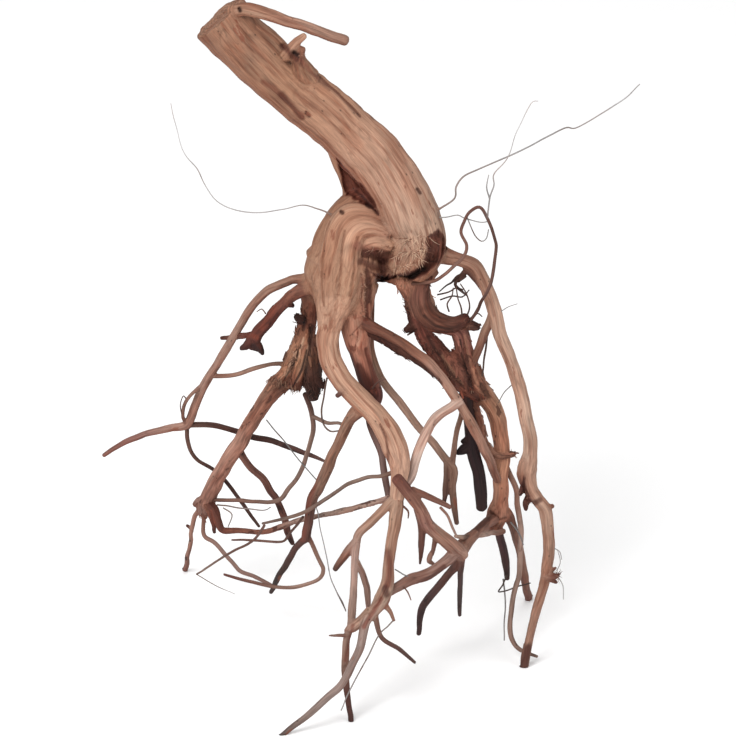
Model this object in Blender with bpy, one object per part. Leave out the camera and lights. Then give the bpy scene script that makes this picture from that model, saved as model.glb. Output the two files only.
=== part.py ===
"""Aquarium root: a sawn length of driftwood trunk that stands on its own roots.

The wood grew as one piece. It is split at its main forks, so each root between two forks is an
object of its own, and short stubs are united with the root that they grow from.

Every root follows a route, a list of stations read from the front view. A station is
(column, row, depth, width): the place in the picture in pixels, how far back it lies in
millimetres, and how thick the wood is there in millimetres. The front view looks down on the
root by VIEW_TILT, so place() turns a station into an upright point in metres.
"""

import math
import random

import bmesh
import bpy
from mathutils import Vector

MM = 0.001

# The real size: the root stands about 0.39 m high, which makes a pixel of the picture 0.55 mm.
PIXEL_SIZE = 0.55
FLOOR_ROW = 734
MIDDLE_COLUMN = 369.0
MIDDLE_DEPTH = 104.0
VIEW_TILT = math.radians(25)

# A root's section is a little flat, and its flutes stand this share of its radius in or out.
# From one section to the next they wander by WANDER of that. Thick wood has more sides.
SECTION_DEPTH = 0.88
FLUTE = 0.1
WANDER = 0.5
SIDES_FOR_WIDTH = ((20, 12), (10, 8), (4, 6), (0, 5))
SHARPEST_SMOOTH_EDGE = math.radians(50)

# Sections lie this far apart on the thinnest wood, and further apart by a share of the width.
# Two that follow each other closer than a share of that become one, and so do the last two.
THIN_STRIDE = 9.5 * MM
STRIDE_PER_WIDTH = 0.22
CLOSEST_SECTIONS = 0.6
CLOSEST_AT_END = 0.3

# Cut pieces keep this gap to the root that carries them. A facet's middle moves less than its
# corners do, so the corners are moved a little further than the gap. Roots whose boxes come
# within NEARBY of each other may touch.
GAP = 0.4 * MM
NEARBY = 0.8 * MM
GROUND_SIZE = 1.0

# A union or a cut is sound where it keeps at least this share of the volume that it should.
VOLUME_SLACK = 0.97


def place(column, row, depth):
    """The upright point, in metres, of a place in the front view."""
    across = (column - MIDDLE_COLUMN) * PIXEL_SIZE
    rise = (FLOOR_ROW - row) * PIXEL_SIZE
    height = (rise - depth * math.sin(VIEW_TILT)) / math.cos(VIEW_TILT)
    return Vector((across, depth - MIDDLE_DEPTH, height)) * MM


def wood_material(name, colour, roughness):
    """A Principled material for one kind of wood surface, with a linear colour."""
    material = bpy.data.materials.new(name)
    material.use_nodes = True
    shader = material.node_tree.nodes["Principled BSDF"]
    shader.inputs["Base Color"].default_value = (*colour, 1.0)
    shader.inputs["Roughness"].default_value = roughness
    shader.inputs["Metallic"].default_value = 0.0
    return material


def clear_scene():
    """Removes every object that the file opened with."""
    for thing in list(bpy.data.objects):
        bpy.data.objects.remove(thing, do_unlink=True)


def curve_between(before, start, end, after, share):
    """A Catmull-Rom value between start and end, for a vector or a number."""
    square = share * share
    cube = square * share
    return 0.5 * (
        2.0 * start
        + (end - before) * share
        + (2.0 * before - 5.0 * start + 4.0 * end - after) * square
        + (3.0 * start - before - 3.0 * end + after) * cube
    )


def section_stride(width, stretch):
    """How far apart the sections lie where the wood is this wide."""
    return stretch * (THIN_STRIDE + STRIDE_PER_WIDTH * width)


def smooth_route(stations, stretch):
    """Points and widths along a smooth curve through the stations."""
    points = [place(*station[:3]) for station in stations]
    widths = [station[3] * MM for station in stations]
    last = len(points) - 1
    route = []
    for index in range(last):
        before = points[max(index - 1, 0)]
        after = points[min(index + 2, last)]
        length = (points[index + 1] - points[index]).length
        pieces = max(1, round(length / section_stride(widths[index], stretch)))
        for piece in range(pieces):
            share = piece / pieces
            point = curve_between(before, points[index], points[index + 1], after, share)
            width = widths[index] * (1.0 - share) + widths[index + 1] * share
            route.append((point, width))
    route.append((points[last], widths[last]))
    return thin_out(route, stretch)


def thin_out(route, stretch):
    """Drops the route points that follow too close on the one before."""
    kept = [route[0]]
    for point, width in route[1:-1]:
        closest = CLOSEST_SECTIONS * section_stride(width, stretch)
        if (point - kept[-1][0]).length > closest:
            kept.append((point, width))
    last_gap = (route[-1][0] - kept[-1][0]).length
    if last_gap < CLOSEST_AT_END * THIN_STRIDE and len(kept) > 1:
        kept.pop()
    kept.append(route[-1])
    return kept


def section_count(stations):
    """How many sides a root's section has: more on thick wood."""
    widest = max(station[3] for station in stations)
    return next(sides for width, sides in SIDES_FOR_WIDTH if widest > width)


def sweep(name, stations, stretch=1.0, blunt=0.25, flat_start=False):
    """A closed solid along the stations, with flutes that run the length of the wood."""
    chance = random.Random(name)
    sides = section_count(stations)
    flutes = [chance.uniform(-FLUTE, FLUTE) for _ in range(sides)]
    route = smooth_route(stations, stretch)
    back = Vector((0.0, math.cos(VIEW_TILT), -math.sin(VIEW_TILT)))
    last = len(route) - 1
    shape = bmesh.new()
    rings = []
    for index, (point, width) in enumerate(route):
        along = (route[min(index + 1, last)][0] - route[max(index - 1, 0)][0]).normalized()
        back = (back - along * back.dot(along)).normalized()
        across = along.cross(back).normalized()
        ring = []
        for side in range(sides):
            angle = 2.0 * math.pi * side / sides
            wander = WANDER * chance.uniform(-FLUTE, FLUTE)
            radius = width / 2 * (1.0 + flutes[side] + wander)
            offset = across * math.cos(angle) + back * (math.sin(angle) * SECTION_DEPTH)
            ring.append(shape.verts.new(point + offset * radius))
        rings.append(ring)
    for lower, upper in zip(rings, rings[1:]):
        for side in range(sides):
            beside = (side + 1) % sides
            shape.faces.new((lower[side], lower[beside], upper[beside], upper[side]))
    first_bulge = 0.0 if flat_start else blunt
    close_end(shape, rings[0], route[0], route[1][0], first_bulge)
    close_end(shape, rings[-1], route[-1], route[-2][0], blunt)
    bmesh.ops.triangulate(shape, faces=shape.faces[:])
    bmesh.ops.recalc_face_normals(shape, faces=shape.faces[:])
    return solid_object(name, shape)


def close_end(shape, ring, station, neighbour, bulge):
    """Closes a ring with a fan whose middle stands out by bulge times the width."""
    point, width = station
    outward = (point - neighbour).normalized()
    middle = sum((corner.co for corner in ring), Vector()) / len(ring)
    if bulge == 0.0:
        for corner in ring:
            corner.co -= outward * (corner.co - point).dot(outward)
        middle -= outward * (middle - point).dot(outward)
    tip = shape.verts.new(middle + outward * (bulge * width))
    for index, corner in enumerate(ring):
        shape.faces.new((corner, ring[(index + 1) % len(ring)], tip))


def solid_object(name, shape):
    """Makes an object of the mesh and links it to the scene."""
    mesh = bpy.data.meshes.new(name)
    shape.to_mesh(mesh)
    shape.free()
    thing = bpy.data.objects.new(name, mesh)
    bpy.context.scene.collection.objects.link(thing)
    return thing


def closed_volume(mesh):
    """The volume inside a mesh, or nothing where some edge doesn't join exactly two faces."""
    shape = bmesh.new()
    shape.from_mesh(mesh)
    closed = all(len(edge.link_faces) == 2 for edge in shape.edges)
    volume = shape.calc_volume(signed=True) if closed else 0.0
    shape.free()
    return volume


def combined_mesh(piece, tool, operation, solver):
    """The mesh of the piece united with the tool, or with the tool cut out of it."""
    step = piece.modifiers.new("step", "BOOLEAN")
    step.operation = operation
    step.solver = solver
    step.object = tool
    graph = bpy.context.evaluated_depsgraph_get()
    result = bpy.data.meshes.new_from_object(piece.evaluated_get(graph))
    piece.modifiers.remove(step)
    return result


def combine(piece, tool, operation):
    """Unites the piece with the tool, or cuts the tool out of it, and keeps the result.

    The exact solver goes first. Where sharp bends make a surface pass through itself, it can
    leave an open or a far too small result, and then the manifold solver does the work.
    """
    before = closed_volume(piece.data)
    least = before if operation == "UNION" else before - closed_volume(tool.data)
    result = combined_mesh(piece, tool, operation, "EXACT")
    volume = closed_volume(result)
    if volume <= 0.0 or volume < least * VOLUME_SLACK:
        bpy.data.meshes.remove(result)
        result = combined_mesh(piece, tool, operation, "MANIFOLD")
    former = piece.data
    piece.data = result
    bpy.data.meshes.remove(former)


def remove_object(thing):
    """Removes a tool that has done its work, with its mesh."""
    mesh = thing.data
    bpy.data.objects.remove(thing)
    bpy.data.meshes.remove(mesh)


def box_of(thing):
    """The lowest and highest corners of an object."""
    corners = [vertex.co for vertex in thing.data.vertices]
    low = [min(corner[axis] for corner in corners) for axis in range(3)]
    high = [max(corner[axis] for corner in corners) for axis in range(3)]
    return low, high


def near_each_other(first, second):
    """Whether the boxes of two objects come within the gap of each other."""
    low_a, high_a = box_of(first)
    low_b, high_b = box_of(second)
    return all(
        low_a[axis] < high_b[axis] + NEARBY and low_b[axis] < high_a[axis] + NEARBY
        for axis in range(3)
    )


def swollen_copy(thing):
    """A copy of a solid whose surface stands out by the gap."""
    mesh = thing.data.copy()
    shape = bmesh.new()
    shape.from_mesh(mesh)
    shape.normal_update()
    for vertex in shape.verts:
        vertex.co += vertex.normal * GAP
    shape.to_mesh(mesh)
    shape.free()
    copy = bpy.data.objects.new("cutter", mesh)
    copy.hide_render = True
    copy.display_type = "WIRE"
    bpy.context.scene.collection.objects.link(copy)
    return copy


def loose_parts(shape):
    """The faces of each separate body of a mesh."""
    waiting = set(shape.faces)
    parts = []
    while waiting:
        edge = [waiting.pop()]
        part = []
        while edge:
            face = edge.pop()
            part.append(face)
            for line in face.edges:
                for beside in line.link_faces:
                    if beside in waiting:
                        waiting.discard(beside)
                        edge.append(beside)
        parts.append(part)
    return parts


def enclosed_volume(part):
    """The volume inside some faces, from the signed pyramids that they make with the origin."""
    volume = 0.0
    for face in part:
        corners = [corner.co for corner in face.verts]
        for second, third in zip(corners[1:], corners[2:]):
            volume += corners[0].dot(second.cross(third)) / 6.0
    return volume


def keep_largest_part(thing):
    """Throws away the offcuts that a cut leaves beside the main body."""
    shape = bmesh.new()
    shape.from_mesh(thing.data)
    parts = sorted(loose_parts(shape), key=enclosed_volume)
    offcuts = [face for part in parts[:-1] for face in part]
    bmesh.ops.delete(shape, geom=offcuts, context="FACES")
    shape.to_mesh(thing.data)
    shape.free()


def ground_block():
    """A block whose top is the surface that the root stands on."""
    shape = bmesh.new()
    bmesh.ops.create_cube(shape, size=GROUND_SIZE)
    for vertex in shape.verts:
        vertex.co.z -= GROUND_SIZE / 2
    block = solid_object("ground", shape)
    block.hide_render = True
    block.display_type = "WIRE"
    return block


def grow(name, material, stations, stubs=(), hollows=(), **options):
    """One root: its main solid, stubs united with it, hollows cut, and room left for its neighbours."""
    root = sweep(name, stations, **options)
    for number, stub in enumerate(stubs):
        addition = sweep(f"{name}_stub_{number}", stub)
        combine(root, addition, "UNION")
        remove_object(addition)
    for number, hollow in enumerate(hollows):
        cutter = sweep(f"{name}_hollow_{number}", hollow)
        combine(root, cutter, "DIFFERENCE")
        remove_object(cutter)
    for neighbour in list(grown):
        if near_each_other(root, neighbour):
            cutter = swollen_copy(neighbour)
            combine(root, cutter, "DIFFERENCE")
            combine(root, neighbour, "DIFFERENCE")
            remove_object(cutter)
    if box_of(root)[0][2] < 0.0:
        combine(root, ground, "DIFFERENCE")
    keep_largest_part(root)
    root.data.materials.clear()
    root.data.materials.append(material)
    root.data.shade_smooth()
    root.data.set_sharp_from_angle(angle=SHARPEST_SMOOTH_EDGE)
    grown.append(root)
    return root


clear_scene()
grown = []
ground = ground_block()

bare_wood = wood_material("bare_wood", (0.43, 0.25, 0.16), 0.75)
pink_wood = wood_material("pink_wood", (0.37, 0.17, 0.11), 0.75)
rusty_wood = wood_material("rusty_wood", (0.18, 0.05, 0.03), 0.8)
bark = wood_material("bark", (0.11, 0.045, 0.03), 0.85)
dark_root = wood_material("dark_root", (0.06, 0.025, 0.02), 0.8)
rootlet = wood_material("rootlet", (0.25, 0.2, 0.16), 0.8)


# Trunk, sawn across at its upper end and torn open at its lower end, with the crown that its
# front and left roots leave from.
TRUNK = (
    (220, 19, 125, 31.8),
    (240, 41, 123, 31.5),
    (260, 59, 120, 32.5),
    (299, 93, 114, 30),
    (324, 113, 110, 30),
    (347, 133, 107, 30.5),
    (372, 157, 103, 31.5),
    (394, 187, 99, 31.5),
    (410, 217, 96, 31.5),
    (418, 242, 94, 31),
    (408, 270, 93, 26),
)
TRUNK_FLANK = (
    (338, 146, 107, 13),
    (350, 171, 107, 15),
    (358, 190, 107, 18),
    (362, 208, 105, 22),
)
CROWN = (
    (388, 208, 103, 14),
    (368, 205, 100, 20),
    (357, 214, 98, 26),
    (351, 226, 97, 31),
    (347, 244, 96, 37),
    (343, 262, 95, 42),
    (339, 276, 94, 39),
    (338, 292, 92, 28),
)
CROWN_BACK = (
    (400, 195, 104, 24),
    (392, 225, 108, 34),
    (382, 252, 109, 37),
    (374, 282, 104, 26),
)
TRUNK_BROKEN_STUB = (
    (302, 72, 108, 11),
    (298, 61, 98, 9),
    (297, 56, 94, 6),
)
SHOULDER_RECESS = (
    (338, 163, 101, 2),
    (347, 178, 100, 5),
    (357, 191, 98, 7),
    (368, 204, 95, 5.5),
    (380, 219, 90, 2),
)
grow(
    "trunk",
    bare_wood,
    TRUNK,
    stubs=(TRUNK_FLANK, CROWN, CROWN_BACK, TRUNK_BROKEN_STUB),
    hollows=(SHOULDER_RECESS,),
    flat_start=True,
)

TOP_BRANCH = (
    (232, 14, 118, 7),
    (250, 12, 113, 7.7),
    (273, 18, 110, 7.2),
    (293, 25, 108, 6.6),
    (316, 33, 107, 6),
    (346, 43, 106, 5.6),
)
TOP_BRANCH_STUB = (
    (288, 24, 108, 5),
    (297, 34, 106, 4),
    (306, 40, 105, 3),
)
grow("top_branch", bare_wood, TOP_BRANCH, stubs=(TOP_BRANCH_STUB,), blunt=0.05)


# Front root: out of the crown's left shoulder, forward and down to two tips on the surface.
FRONT_ROOT = (
    (340, 264, 92, 30),
    (338, 288, 87, 26),
    (333, 308, 83, 19),
    (329, 330, 81, 12),
    (328, 345, 79, 12.5),
    (331, 362, 77, 12.7),
    (342, 380, 74, 12.5),
    (353, 392, 71, 12.3),
    (365, 404, 68, 12.3),
    (376, 415, 65, 12.6),
    (387, 431, 61, 13.5),
    (395, 447, 58, 14),
    (399, 461, 55, 12),
    (399, 475, 52, 10),
    (397, 498, 48, 8.3),
)
FRONT_ROOT_STUB = (
    (347, 388, 70, 4),
    (337, 396, 66, 2.8),
)
grow("front_root", bare_wood, FRONT_ROOT, stubs=(FRONT_ROOT_STUB,))

FRONT_ROOT_TIP = (
    (397, 494, 48.5, 7.8),
    (395, 523, 43, 7.5),
    (392, 540, 39, 6.8),
    (389, 563, 34, 6.3),
    (388, 580, 30, 7.2),
    (382, 598, 25, 9.2),
    (375, 609, 22.5, 7),
    (366, 621, 20, 5.5),
    (360, 647, 15, 4.8),
    (353, 663, 12, 4.5),
    (341, 685, 8.5, 4.4),
    (327, 697, 6, 4.2),
    (310, 713, 3.5, 3.8),
    (293, 726, 1.5, 3.4),
    (281, 736, 0, 3),
)
FRONT_TIP_NUB = (
    (384, 604, 24, 5),
    (394, 620, 21, 2.6),
)
FRONT_TIP_STICK = (
    (374, 610, 22, 4),
    (381, 636, 18, 2.8),
    (400, 649, 14, 2.6),
    (415, 662, 10, 1.8),
)
grow("front_root_tip", bare_wood, FRONT_ROOT_TIP, stubs=(FRONT_TIP_NUB, FRONT_TIP_STICK))

FRONT_SIDE_ROOT = (
    (392, 500, 47, 5.5),
    (372, 521, 42, 5),
    (359, 533, 39, 4.6),
    (356, 546, 37, 4.4),
    (354, 569, 33, 4.2),
    (352, 615, 28, 4.4),
    (350, 629, 26, 4.2),
    (347, 640, 25, 4),
    (345, 669, 22, 4),
    (347, 685, 20, 3.8),
    (349, 703, 18.5, 3.4),
    (351, 724, 17, 3),
)
FRONT_SIDE_STUB = (
    (355, 548, 37, 3.6),
    (346, 555, 38, 3.5),
    (333, 570, 40, 2.4),
)
FRONT_SIDE_TWIG = (
    (357, 562, 34, 3.8),
    (365, 580, 36, 3.8),
    (368, 592, 37, 3.8),
    (369, 615, 38, 2.4),
)
FRONT_SIDE_THORN = (
    (350, 635, 25, 2.6),
    (338, 635, 23, 2),
    (329, 635, 21, 1),
)
grow(
    "front_side_root",
    bare_wood,
    FRONT_SIDE_ROOT,
    stubs=(FRONT_SIDE_STUB, FRONT_SIDE_TWIG, FRONT_SIDE_THORN),
)


# Middle root, pinkish, behind the front root, which it passes before it thins to a dark tip.
MIDDLE_ROOT = (
    (352, 288, 94, 22),
    (354, 308, 92, 20),
    (356, 330, 90, 17.5),
    (360, 350, 88, 12),
    (364, 368, 86, 10.5),
    (370, 385, 86, 11),
    (375, 397, 84, 8),
    (371, 412, 82, 5),
    (369, 422, 81, 4),
    (376, 440, 78, 3.9),
    (382, 458, 75, 3.9),
    (385, 475, 71, 3.9),
    (388, 492, 67, 3.9),
    (388, 502, 64, 3),
)
grow("middle_root", pink_wood, MIDDLE_ROOT)


# Left roots. The bark root leaves the crown beside the front root and slants down to a knot.
BARK_ROOT = (
    (312, 284, 98, 10),
    (309, 318, 101, 9.2),
    (305, 335, 104, 11),
    (300, 352, 108, 12.5),
    (289, 374, 114, 12),
    (270, 394, 123, 9.5),
    (257, 414, 131, 9),
    (246, 431, 138, 8.8),
    (237, 447, 144, 8.6),
    (227, 462, 150, 8.6),
    (216, 481, 157, 8.6),
    (208, 496, 162, 8.6),
    (204, 506, 165, 9.5),
    (200, 514, 167, 6),
)
BARK_FLARE = (
    (300, 352, 107, 11),
    (306, 372, 107, 10),
    (311, 388, 107, 7.5),
    (314, 404, 107, 4),
)
BARK_STUB = (
    (306, 322, 100, 5),
    (297, 318, 94, 3),
)
grow("bark_root", bark, BARK_ROOT, stubs=(BARK_FLARE, BARK_STUB))

BARK_ROOT_FOOT = (
    (203, 504, 166, 3),
    (196, 512, 169, 2.8),
    (192, 522, 175, 2.8),
    (189, 537, 185, 2.7),
    (186, 555, 197, 2.7),
    (183, 572, 208, 3.2),
    (182, 578, 212, 3.2),
)
grow("bark_root_foot", dark_root, BARK_ROOT_FOOT)

BARK_SIDE_ROOT = (
    (238, 450, 146, 5),
    (243, 459, 145, 4),
    (250, 468, 144, 4),
    (261, 478, 143, 4),
    (269, 491, 142, 4),
    (276, 500, 141, 4),
    (284, 520, 140, 4),
    (287, 533, 140, 4),
    (292, 545, 140, 2.5),
)
grow("bark_side_root", dark_root, BARK_SIDE_ROOT)

SLING_ROOT = (
    (203, 508, 165, 2.8),
    (202, 528, 163, 2.6),
    (204, 538, 160, 2.6),
    (214, 545, 157, 2.5),
    (231, 563, 150, 2.4),
    (240, 573, 146, 2.4),
    (255, 579, 141, 2.3),
    (273, 588, 130, 1.8),
)
grow("sling_root", bare_wood, SLING_ROOT)

# Left root: an arch that leaves above the bark root and forks at its lowest bend.
LEFT_ROOT = (
    (318, 280, 95, 7),
    (296, 279, 98, 5),
    (286, 282, 99, 5),
    (272, 288, 102, 5),
    (262, 296, 104, 5),
    (250, 310, 107, 5),
    (235, 334, 112, 5),
    (219, 361, 119, 5),
    (208, 377, 123, 5),
    (200, 392, 127, 5),
    (194, 407, 131, 5),
    (187, 424, 136, 5.2),
    (170, 428, 139, 4.2),
    (154, 432, 142, 3.8),
    (128, 440, 147, 3.3),
    (102, 456, 152, 2.4),
)
LEFT_ROOT_BOW = (
    (203, 384, 125, 2.4),
    (191, 394, 124, 2),
    (183, 406, 128, 2),
    (182, 417, 132, 2),
    (188, 428, 137, 2.4),
)
grow("left_root", bare_wood, LEFT_ROOT, stubs=(LEFT_ROOT_BOW,))

LEFT_CROSS_ROOT = (
    (188, 425, 136, 3.6),
    (210, 425, 141, 3.4),
    (225, 428, 146, 3.3),
    (237, 432, 150, 3.3),
    (253, 437, 151, 3.3),
    (271, 441, 150, 3.3),
    (289, 447, 147, 3.2),
    (308, 455, 143, 2.8),
    (327, 463, 139, 1.4),
)
grow("left_cross_root", dark_root, LEFT_CROSS_ROOT)

LEFT_DROP_ROOT = (
    (186, 428, 137, 2.8),
    (188, 445, 142, 2.5),
    (193, 457, 148, 2.5),
    (203, 465, 156, 2.5),
    (214, 472, 163, 2.5),
    (226, 484, 166, 2.5),
    (242, 506, 167, 2.4),
    (258, 528, 169, 1.8),
)
grow("left_drop_root", dark_root, LEFT_DROP_ROOT)

LEFT_BRIDGE_ROOT = (
    (211, 376, 122, 2.8),
    (231, 375, 119, 2.5),
    (251, 370, 117, 2.5),
    (270, 364, 116, 2.5),
    (288, 364, 114, 3),
)
grow("left_bridge_root", bare_wood, LEFT_BRIDGE_ROOT)

# Rusty stub root, broken off short under the arch, with one thin arm and a torn, two-pointed end.
RUST_STUB_ROOT = (
    (316, 284, 92, 8),
    (295, 294, 91, 6.6),
    (286, 302, 90, 6.6),
    (277, 311, 90, 6.6),
    (268, 322, 91, 6.6),
    (257, 334, 93, 7),
    (252, 350, 95, 7.5),
)
RUST_STUB_ARM = (
    (257, 334, 94, 4),
    (246, 335, 100, 2.8),
    (234, 337, 119, 2.4),
    (221, 338, 122, 1.8),
)
RUST_STUB_LEFT_POINT = (
    (254, 338, 94, 6),
    (243, 348, 94, 2.6),
)
RUST_STUB_RIGHT_POINT = (
    (254, 340, 94, 6),
    (262, 353, 94, 2.6),
)
grow(
    "rust_stub_root",
    rusty_wood,
    RUST_STUB_ROOT,
    stubs=(RUST_STUB_ARM, RUST_STUB_LEFT_POINT, RUST_STUB_RIGHT_POINT),
)

# Thin root that hangs from the bark root's torn flare and comes back to its knot.
THIN_HANGING_ROOT = (
    (305, 394, 112, 3),
    (312, 413, 113, 2.8),
    (313, 428, 115, 2.8),
    (310, 445, 118, 2.8),
    (299, 475, 125, 2.7),
    (288, 490, 129, 2.7),
    (278, 501, 131, 2.7),
    (256, 503, 138, 2.6),
    (239, 501, 146, 2.5),
    (224, 501, 154, 2.4),
    (211, 501, 161, 2.2),
)
THIN_HANGING_TWIG = (
    (312, 416, 113, 2.4),
    (325, 422, 105, 2.2),
    (336, 423, 95, 2),
    (346, 424, 82, 1.6),
)
grow("thin_hanging_root", rootlet, THIN_HANGING_ROOT, stubs=(THIN_HANGING_TWIG,))


# Roots that leave the front root to the left.
MIDDLE_LEFT_ROOT = (
    (366, 402, 69, 8),
    (351, 419, 72, 6.6),
    (344, 433, 74, 6.3),
    (335, 452, 78, 6.3),
    (319, 486, 86, 6.2),
    (312, 500, 90, 6),
    (308, 526, 97, 5.8),
    (306, 538, 100, 5.2),
    (300, 544, 104, 4),
    (292, 555, 110, 3.8),
    (282, 571, 118, 3.6),
    (276, 583, 126, 3.4),
    (270, 594, 132, 2.4),
)
grow("middle_left_root", bare_wood, MIDDLE_LEFT_ROOT)

LOOPED_ROOTLET = (
    (307, 535, 99, 3),
    (318, 559, 102, 2.5),
    (323, 571, 104, 2.5),
    (317, 581, 107, 2.4),
    (296, 588, 112, 2.4),
    (273, 588, 118, 2.3),
    (250, 583, 124, 2.2),
    (237, 580, 128, 2.1),
    (223, 576, 132, 1.6),
)
grow("looped_rootlet", bare_wood, LOOPED_ROOTLET)

HOOK_ROOT = (
    (208, 505, 161, 5),
    (214, 512, 156, 5),
    (217, 524, 152, 4.6),
    (222, 532, 149, 3.6),
    (239, 532, 143, 3.1),
    (255, 533, 135, 3),
    (268, 532, 128, 3),
    (280, 528, 121, 3),
    (296, 522, 112, 3),
    (312, 518, 105, 3),
    (331, 514, 92, 3),
    (350, 509, 78, 3),
    (365, 505, 66, 3),
    (388, 498, 52, 3.4),
)
grow("hook_root", rusty_wood, HOOK_ROOT)

CROSSING_ROOTLET = (
    (394, 472, 54, 3),
    (380, 476, 58, 2.4),
    (365, 478, 63, 2.2),
    (349, 484, 69, 2.2),
    (335, 493, 75, 2.2),
    (321, 502, 79, 2.2),
    (303, 513, 88, 2.2),
    (289, 518, 95, 2),
    (277, 521, 100, 1.8),
    (262, 524, 106, 1.4),
)
grow("crossing_rootlet", rootlet, CROSSING_ROOTLET)


# Right roots. The right bark root comes out under the trunk's torn base and turns down at a
# knee. Its lower end is a knot with four arms.
RIGHT_BARK_ROOT = (
    (412, 280, 96, 20),
    (422, 303, 97, 17),
    (434, 322, 98, 19),
    (449, 335, 99, 20),
    (458, 352, 100, 18),
    (464, 368, 101, 17),
    (472, 382, 102, 16),
    (484, 394, 103, 11),
    (494, 410, 104, 9.2),
    (500, 430, 105, 8.8),
    (502, 450, 106, 8.8),
    (501, 478, 107, 8.8),
    (501, 501, 108, 9),
    (498, 514, 109, 12.5),
    (495, 526, 109, 9),
)
RING_ROOT = (
    (474, 400, 99, 4),
    (480, 420, 99, 3.2),
    (485, 438, 99, 3.2),
    (492, 452, 100, 3.4),
    (502, 456, 101, 3.6),
    (515, 455, 104, 2.6),
)
BARK_LUMP = (
    (446, 352, 94, 12),
    (455, 372, 93, 13),
    (464, 386, 95, 9),
)
KNEE_KNOB_LEFT = (
    (426, 322, 97, 8),
    (408, 329, 94, 4),
)
KNEE_KNOB_RIGHT = (
    (458, 324, 97, 8),
    (476, 326, 95, 5),
)
KNOT_TWIG = (
    (494, 529, 107, 3.4),
    (485, 534, 102, 2.5),
    (476, 535, 98, 2.5),
    (458, 536, 92, 1.6),
)
grow(
    "right_bark_root",
    bark,
    RIGHT_BARK_ROOT,
    stubs=(RING_ROOT, BARK_LUMP, KNEE_KNOB_LEFT, KNEE_KNOB_RIGHT, KNOT_TWIG),
)

CHARRED_STUB = (
    (466, 394, 98, 8),
    (469, 415, 99, 7.2),
    (471, 429, 99, 7.1),
    (472, 447, 98, 7.1),
    (478, 469, 97, 7.1),
    (480, 486, 95, 7),
    (482, 508, 94, 6.6),
)
CHARRED_NUB = (
    (470, 448, 98, 4),
    (463, 452, 97, 2.6),
)
grow("charred_stub", dark_root, CHARRED_STUB, stubs=(CHARRED_NUB,), blunt=0.1)

RIGHT_DROP_ROOT = (
    (498, 520, 109, 6),
    (500, 536, 112, 4.8),
    (503, 547, 115, 4.8),
    (506, 562, 119, 4.6),
    (508, 580, 123, 2.8),
)
grow("right_drop_root", dark_root, RIGHT_DROP_ROOT)

RIGHT_LEG = (
    (502, 510, 109, 6),
    (509, 517, 112, 5.5),
    (515, 532, 122, 5.1),
    (521, 552, 136, 5),
    (525, 573, 152, 4.8),
    (530, 600, 171, 4.6),
    (531, 608, 177, 4.4),
)
grow("right_leg", bare_wood, RIGHT_LEG)

COMPANION_ROOT = (
    (502, 458, 108, 3.8),
    (510, 475, 110, 3.3),
    (516, 490, 112, 3.3),
    (520, 517, 116, 3.2),
    (522, 532, 116, 3.2),
    (521, 552, 114, 3.1),
    (520, 573, 110, 3),
    (516, 589, 106, 3),
    (512, 610, 101, 2.9),
    (511, 627, 98, 2.9),
    (513, 640, 96, 2.8),
    (521, 651, 94, 2.6),
    (538, 658, 91, 1.6),
)
grow("companion_root", rootlet, COMPANION_ROOT)

# Pale roots that cross between the right bark root and the front root.
CROSSING_ROOT = (
    (360, 320, 86, 6.4),
    (373, 328, 82, 6),
    (400, 342, 79, 6),
    (417, 354, 78, 5.9),
    (434, 368, 78, 5.8),
    (446, 384, 79, 5.8),
    (457, 400, 80, 5.8),
    (469, 420, 83, 5.8),
    (480, 441, 88, 5.7),
    (492, 464, 97, 5.4),
    (498, 480, 103, 5),
)
grow("crossing_root", bare_wood, CROSSING_ROOT)

PALE_ARC_ROOT = (
    (460, 401, 80, 5.5),
    (452, 406, 77, 5.5),
    (442, 413, 75, 5.5),
    (431, 424, 71, 5.5),
    (424, 438, 68, 5.5),
    (419, 450, 65, 5.5),
    (415, 463, 61, 5.4),
    (411, 477, 56, 5.2),
    (402, 490, 50, 4.5),
)
grow("pale_arc_root", bare_wood, PALE_ARC_ROOT)

STRAIGHT_ROOT = (
    (370, 270, 104, 6.5),
    (370, 295, 105, 5.6),
    (370, 320, 106, 5.2),
    (371, 350, 106, 4.8),
    (380, 377, 105, 4.4),
    (393, 394, 103, 4.4),
    (401, 403, 102, 4.4),
    (419, 427, 99, 4.4),
    (431, 440, 97, 4.4),
    (445, 458, 95, 4.6),
    (454, 470, 93, 4.4),
    (453, 486, 92, 4),
    (454, 503, 91, 3.8),
    (457, 524, 90, 2.6),
)
STRAIGHT_ROOT_FORK = (
    (447, 462, 94, 4.2),
    (447, 478, 92, 3.8),
    (446, 490, 91, 3.6),
    (444, 503, 90, 2.4),
)
STRAIGHT_ROOT_JOIN = (
    (463, 408, 88, 3.4),
    (457, 431, 91, 3.2),
    (454, 452, 93, 3.2),
    (452, 466, 94, 3.4),
)
grow(
    "straight_root",
    bare_wood,
    STRAIGHT_ROOT,
    stubs=(STRAIGHT_ROOT_FORK, STRAIGHT_ROOT_JOIN),
)


# Overlay root, laid over the front root, and the three arms of the joint at its lower end.
OVERLAY_ROOT = (
    (397, 478, 41, 6.2),
    (408, 492, 42, 7),
    (420, 508, 45, 7),
    (429, 526, 48, 7.4),
    (446, 540, 52, 8),
    (457, 550, 55, 9),
    (464, 556, 57, 6),
)
OVERLAY_POINT = (
    (418, 508, 47, 5),
    (421, 525, 48, 4.4),
    (421, 545, 50, 3.8),
    (420, 564, 52, 1.2),
)
OVERLAY_NUB = (
    (436, 532, 51, 4),
    (432, 555, 53, 2),
)
OVERLAY_STICK = (
    (412, 490, 44, 4.6),
    (433, 499, 46, 3.6),
    (450, 507, 48, 2.4),
)
grow(
    "overlay_root",
    bare_wood,
    OVERLAY_ROOT,
    stubs=(OVERLAY_POINT, OVERLAY_NUB, OVERLAY_STICK),
)

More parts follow.
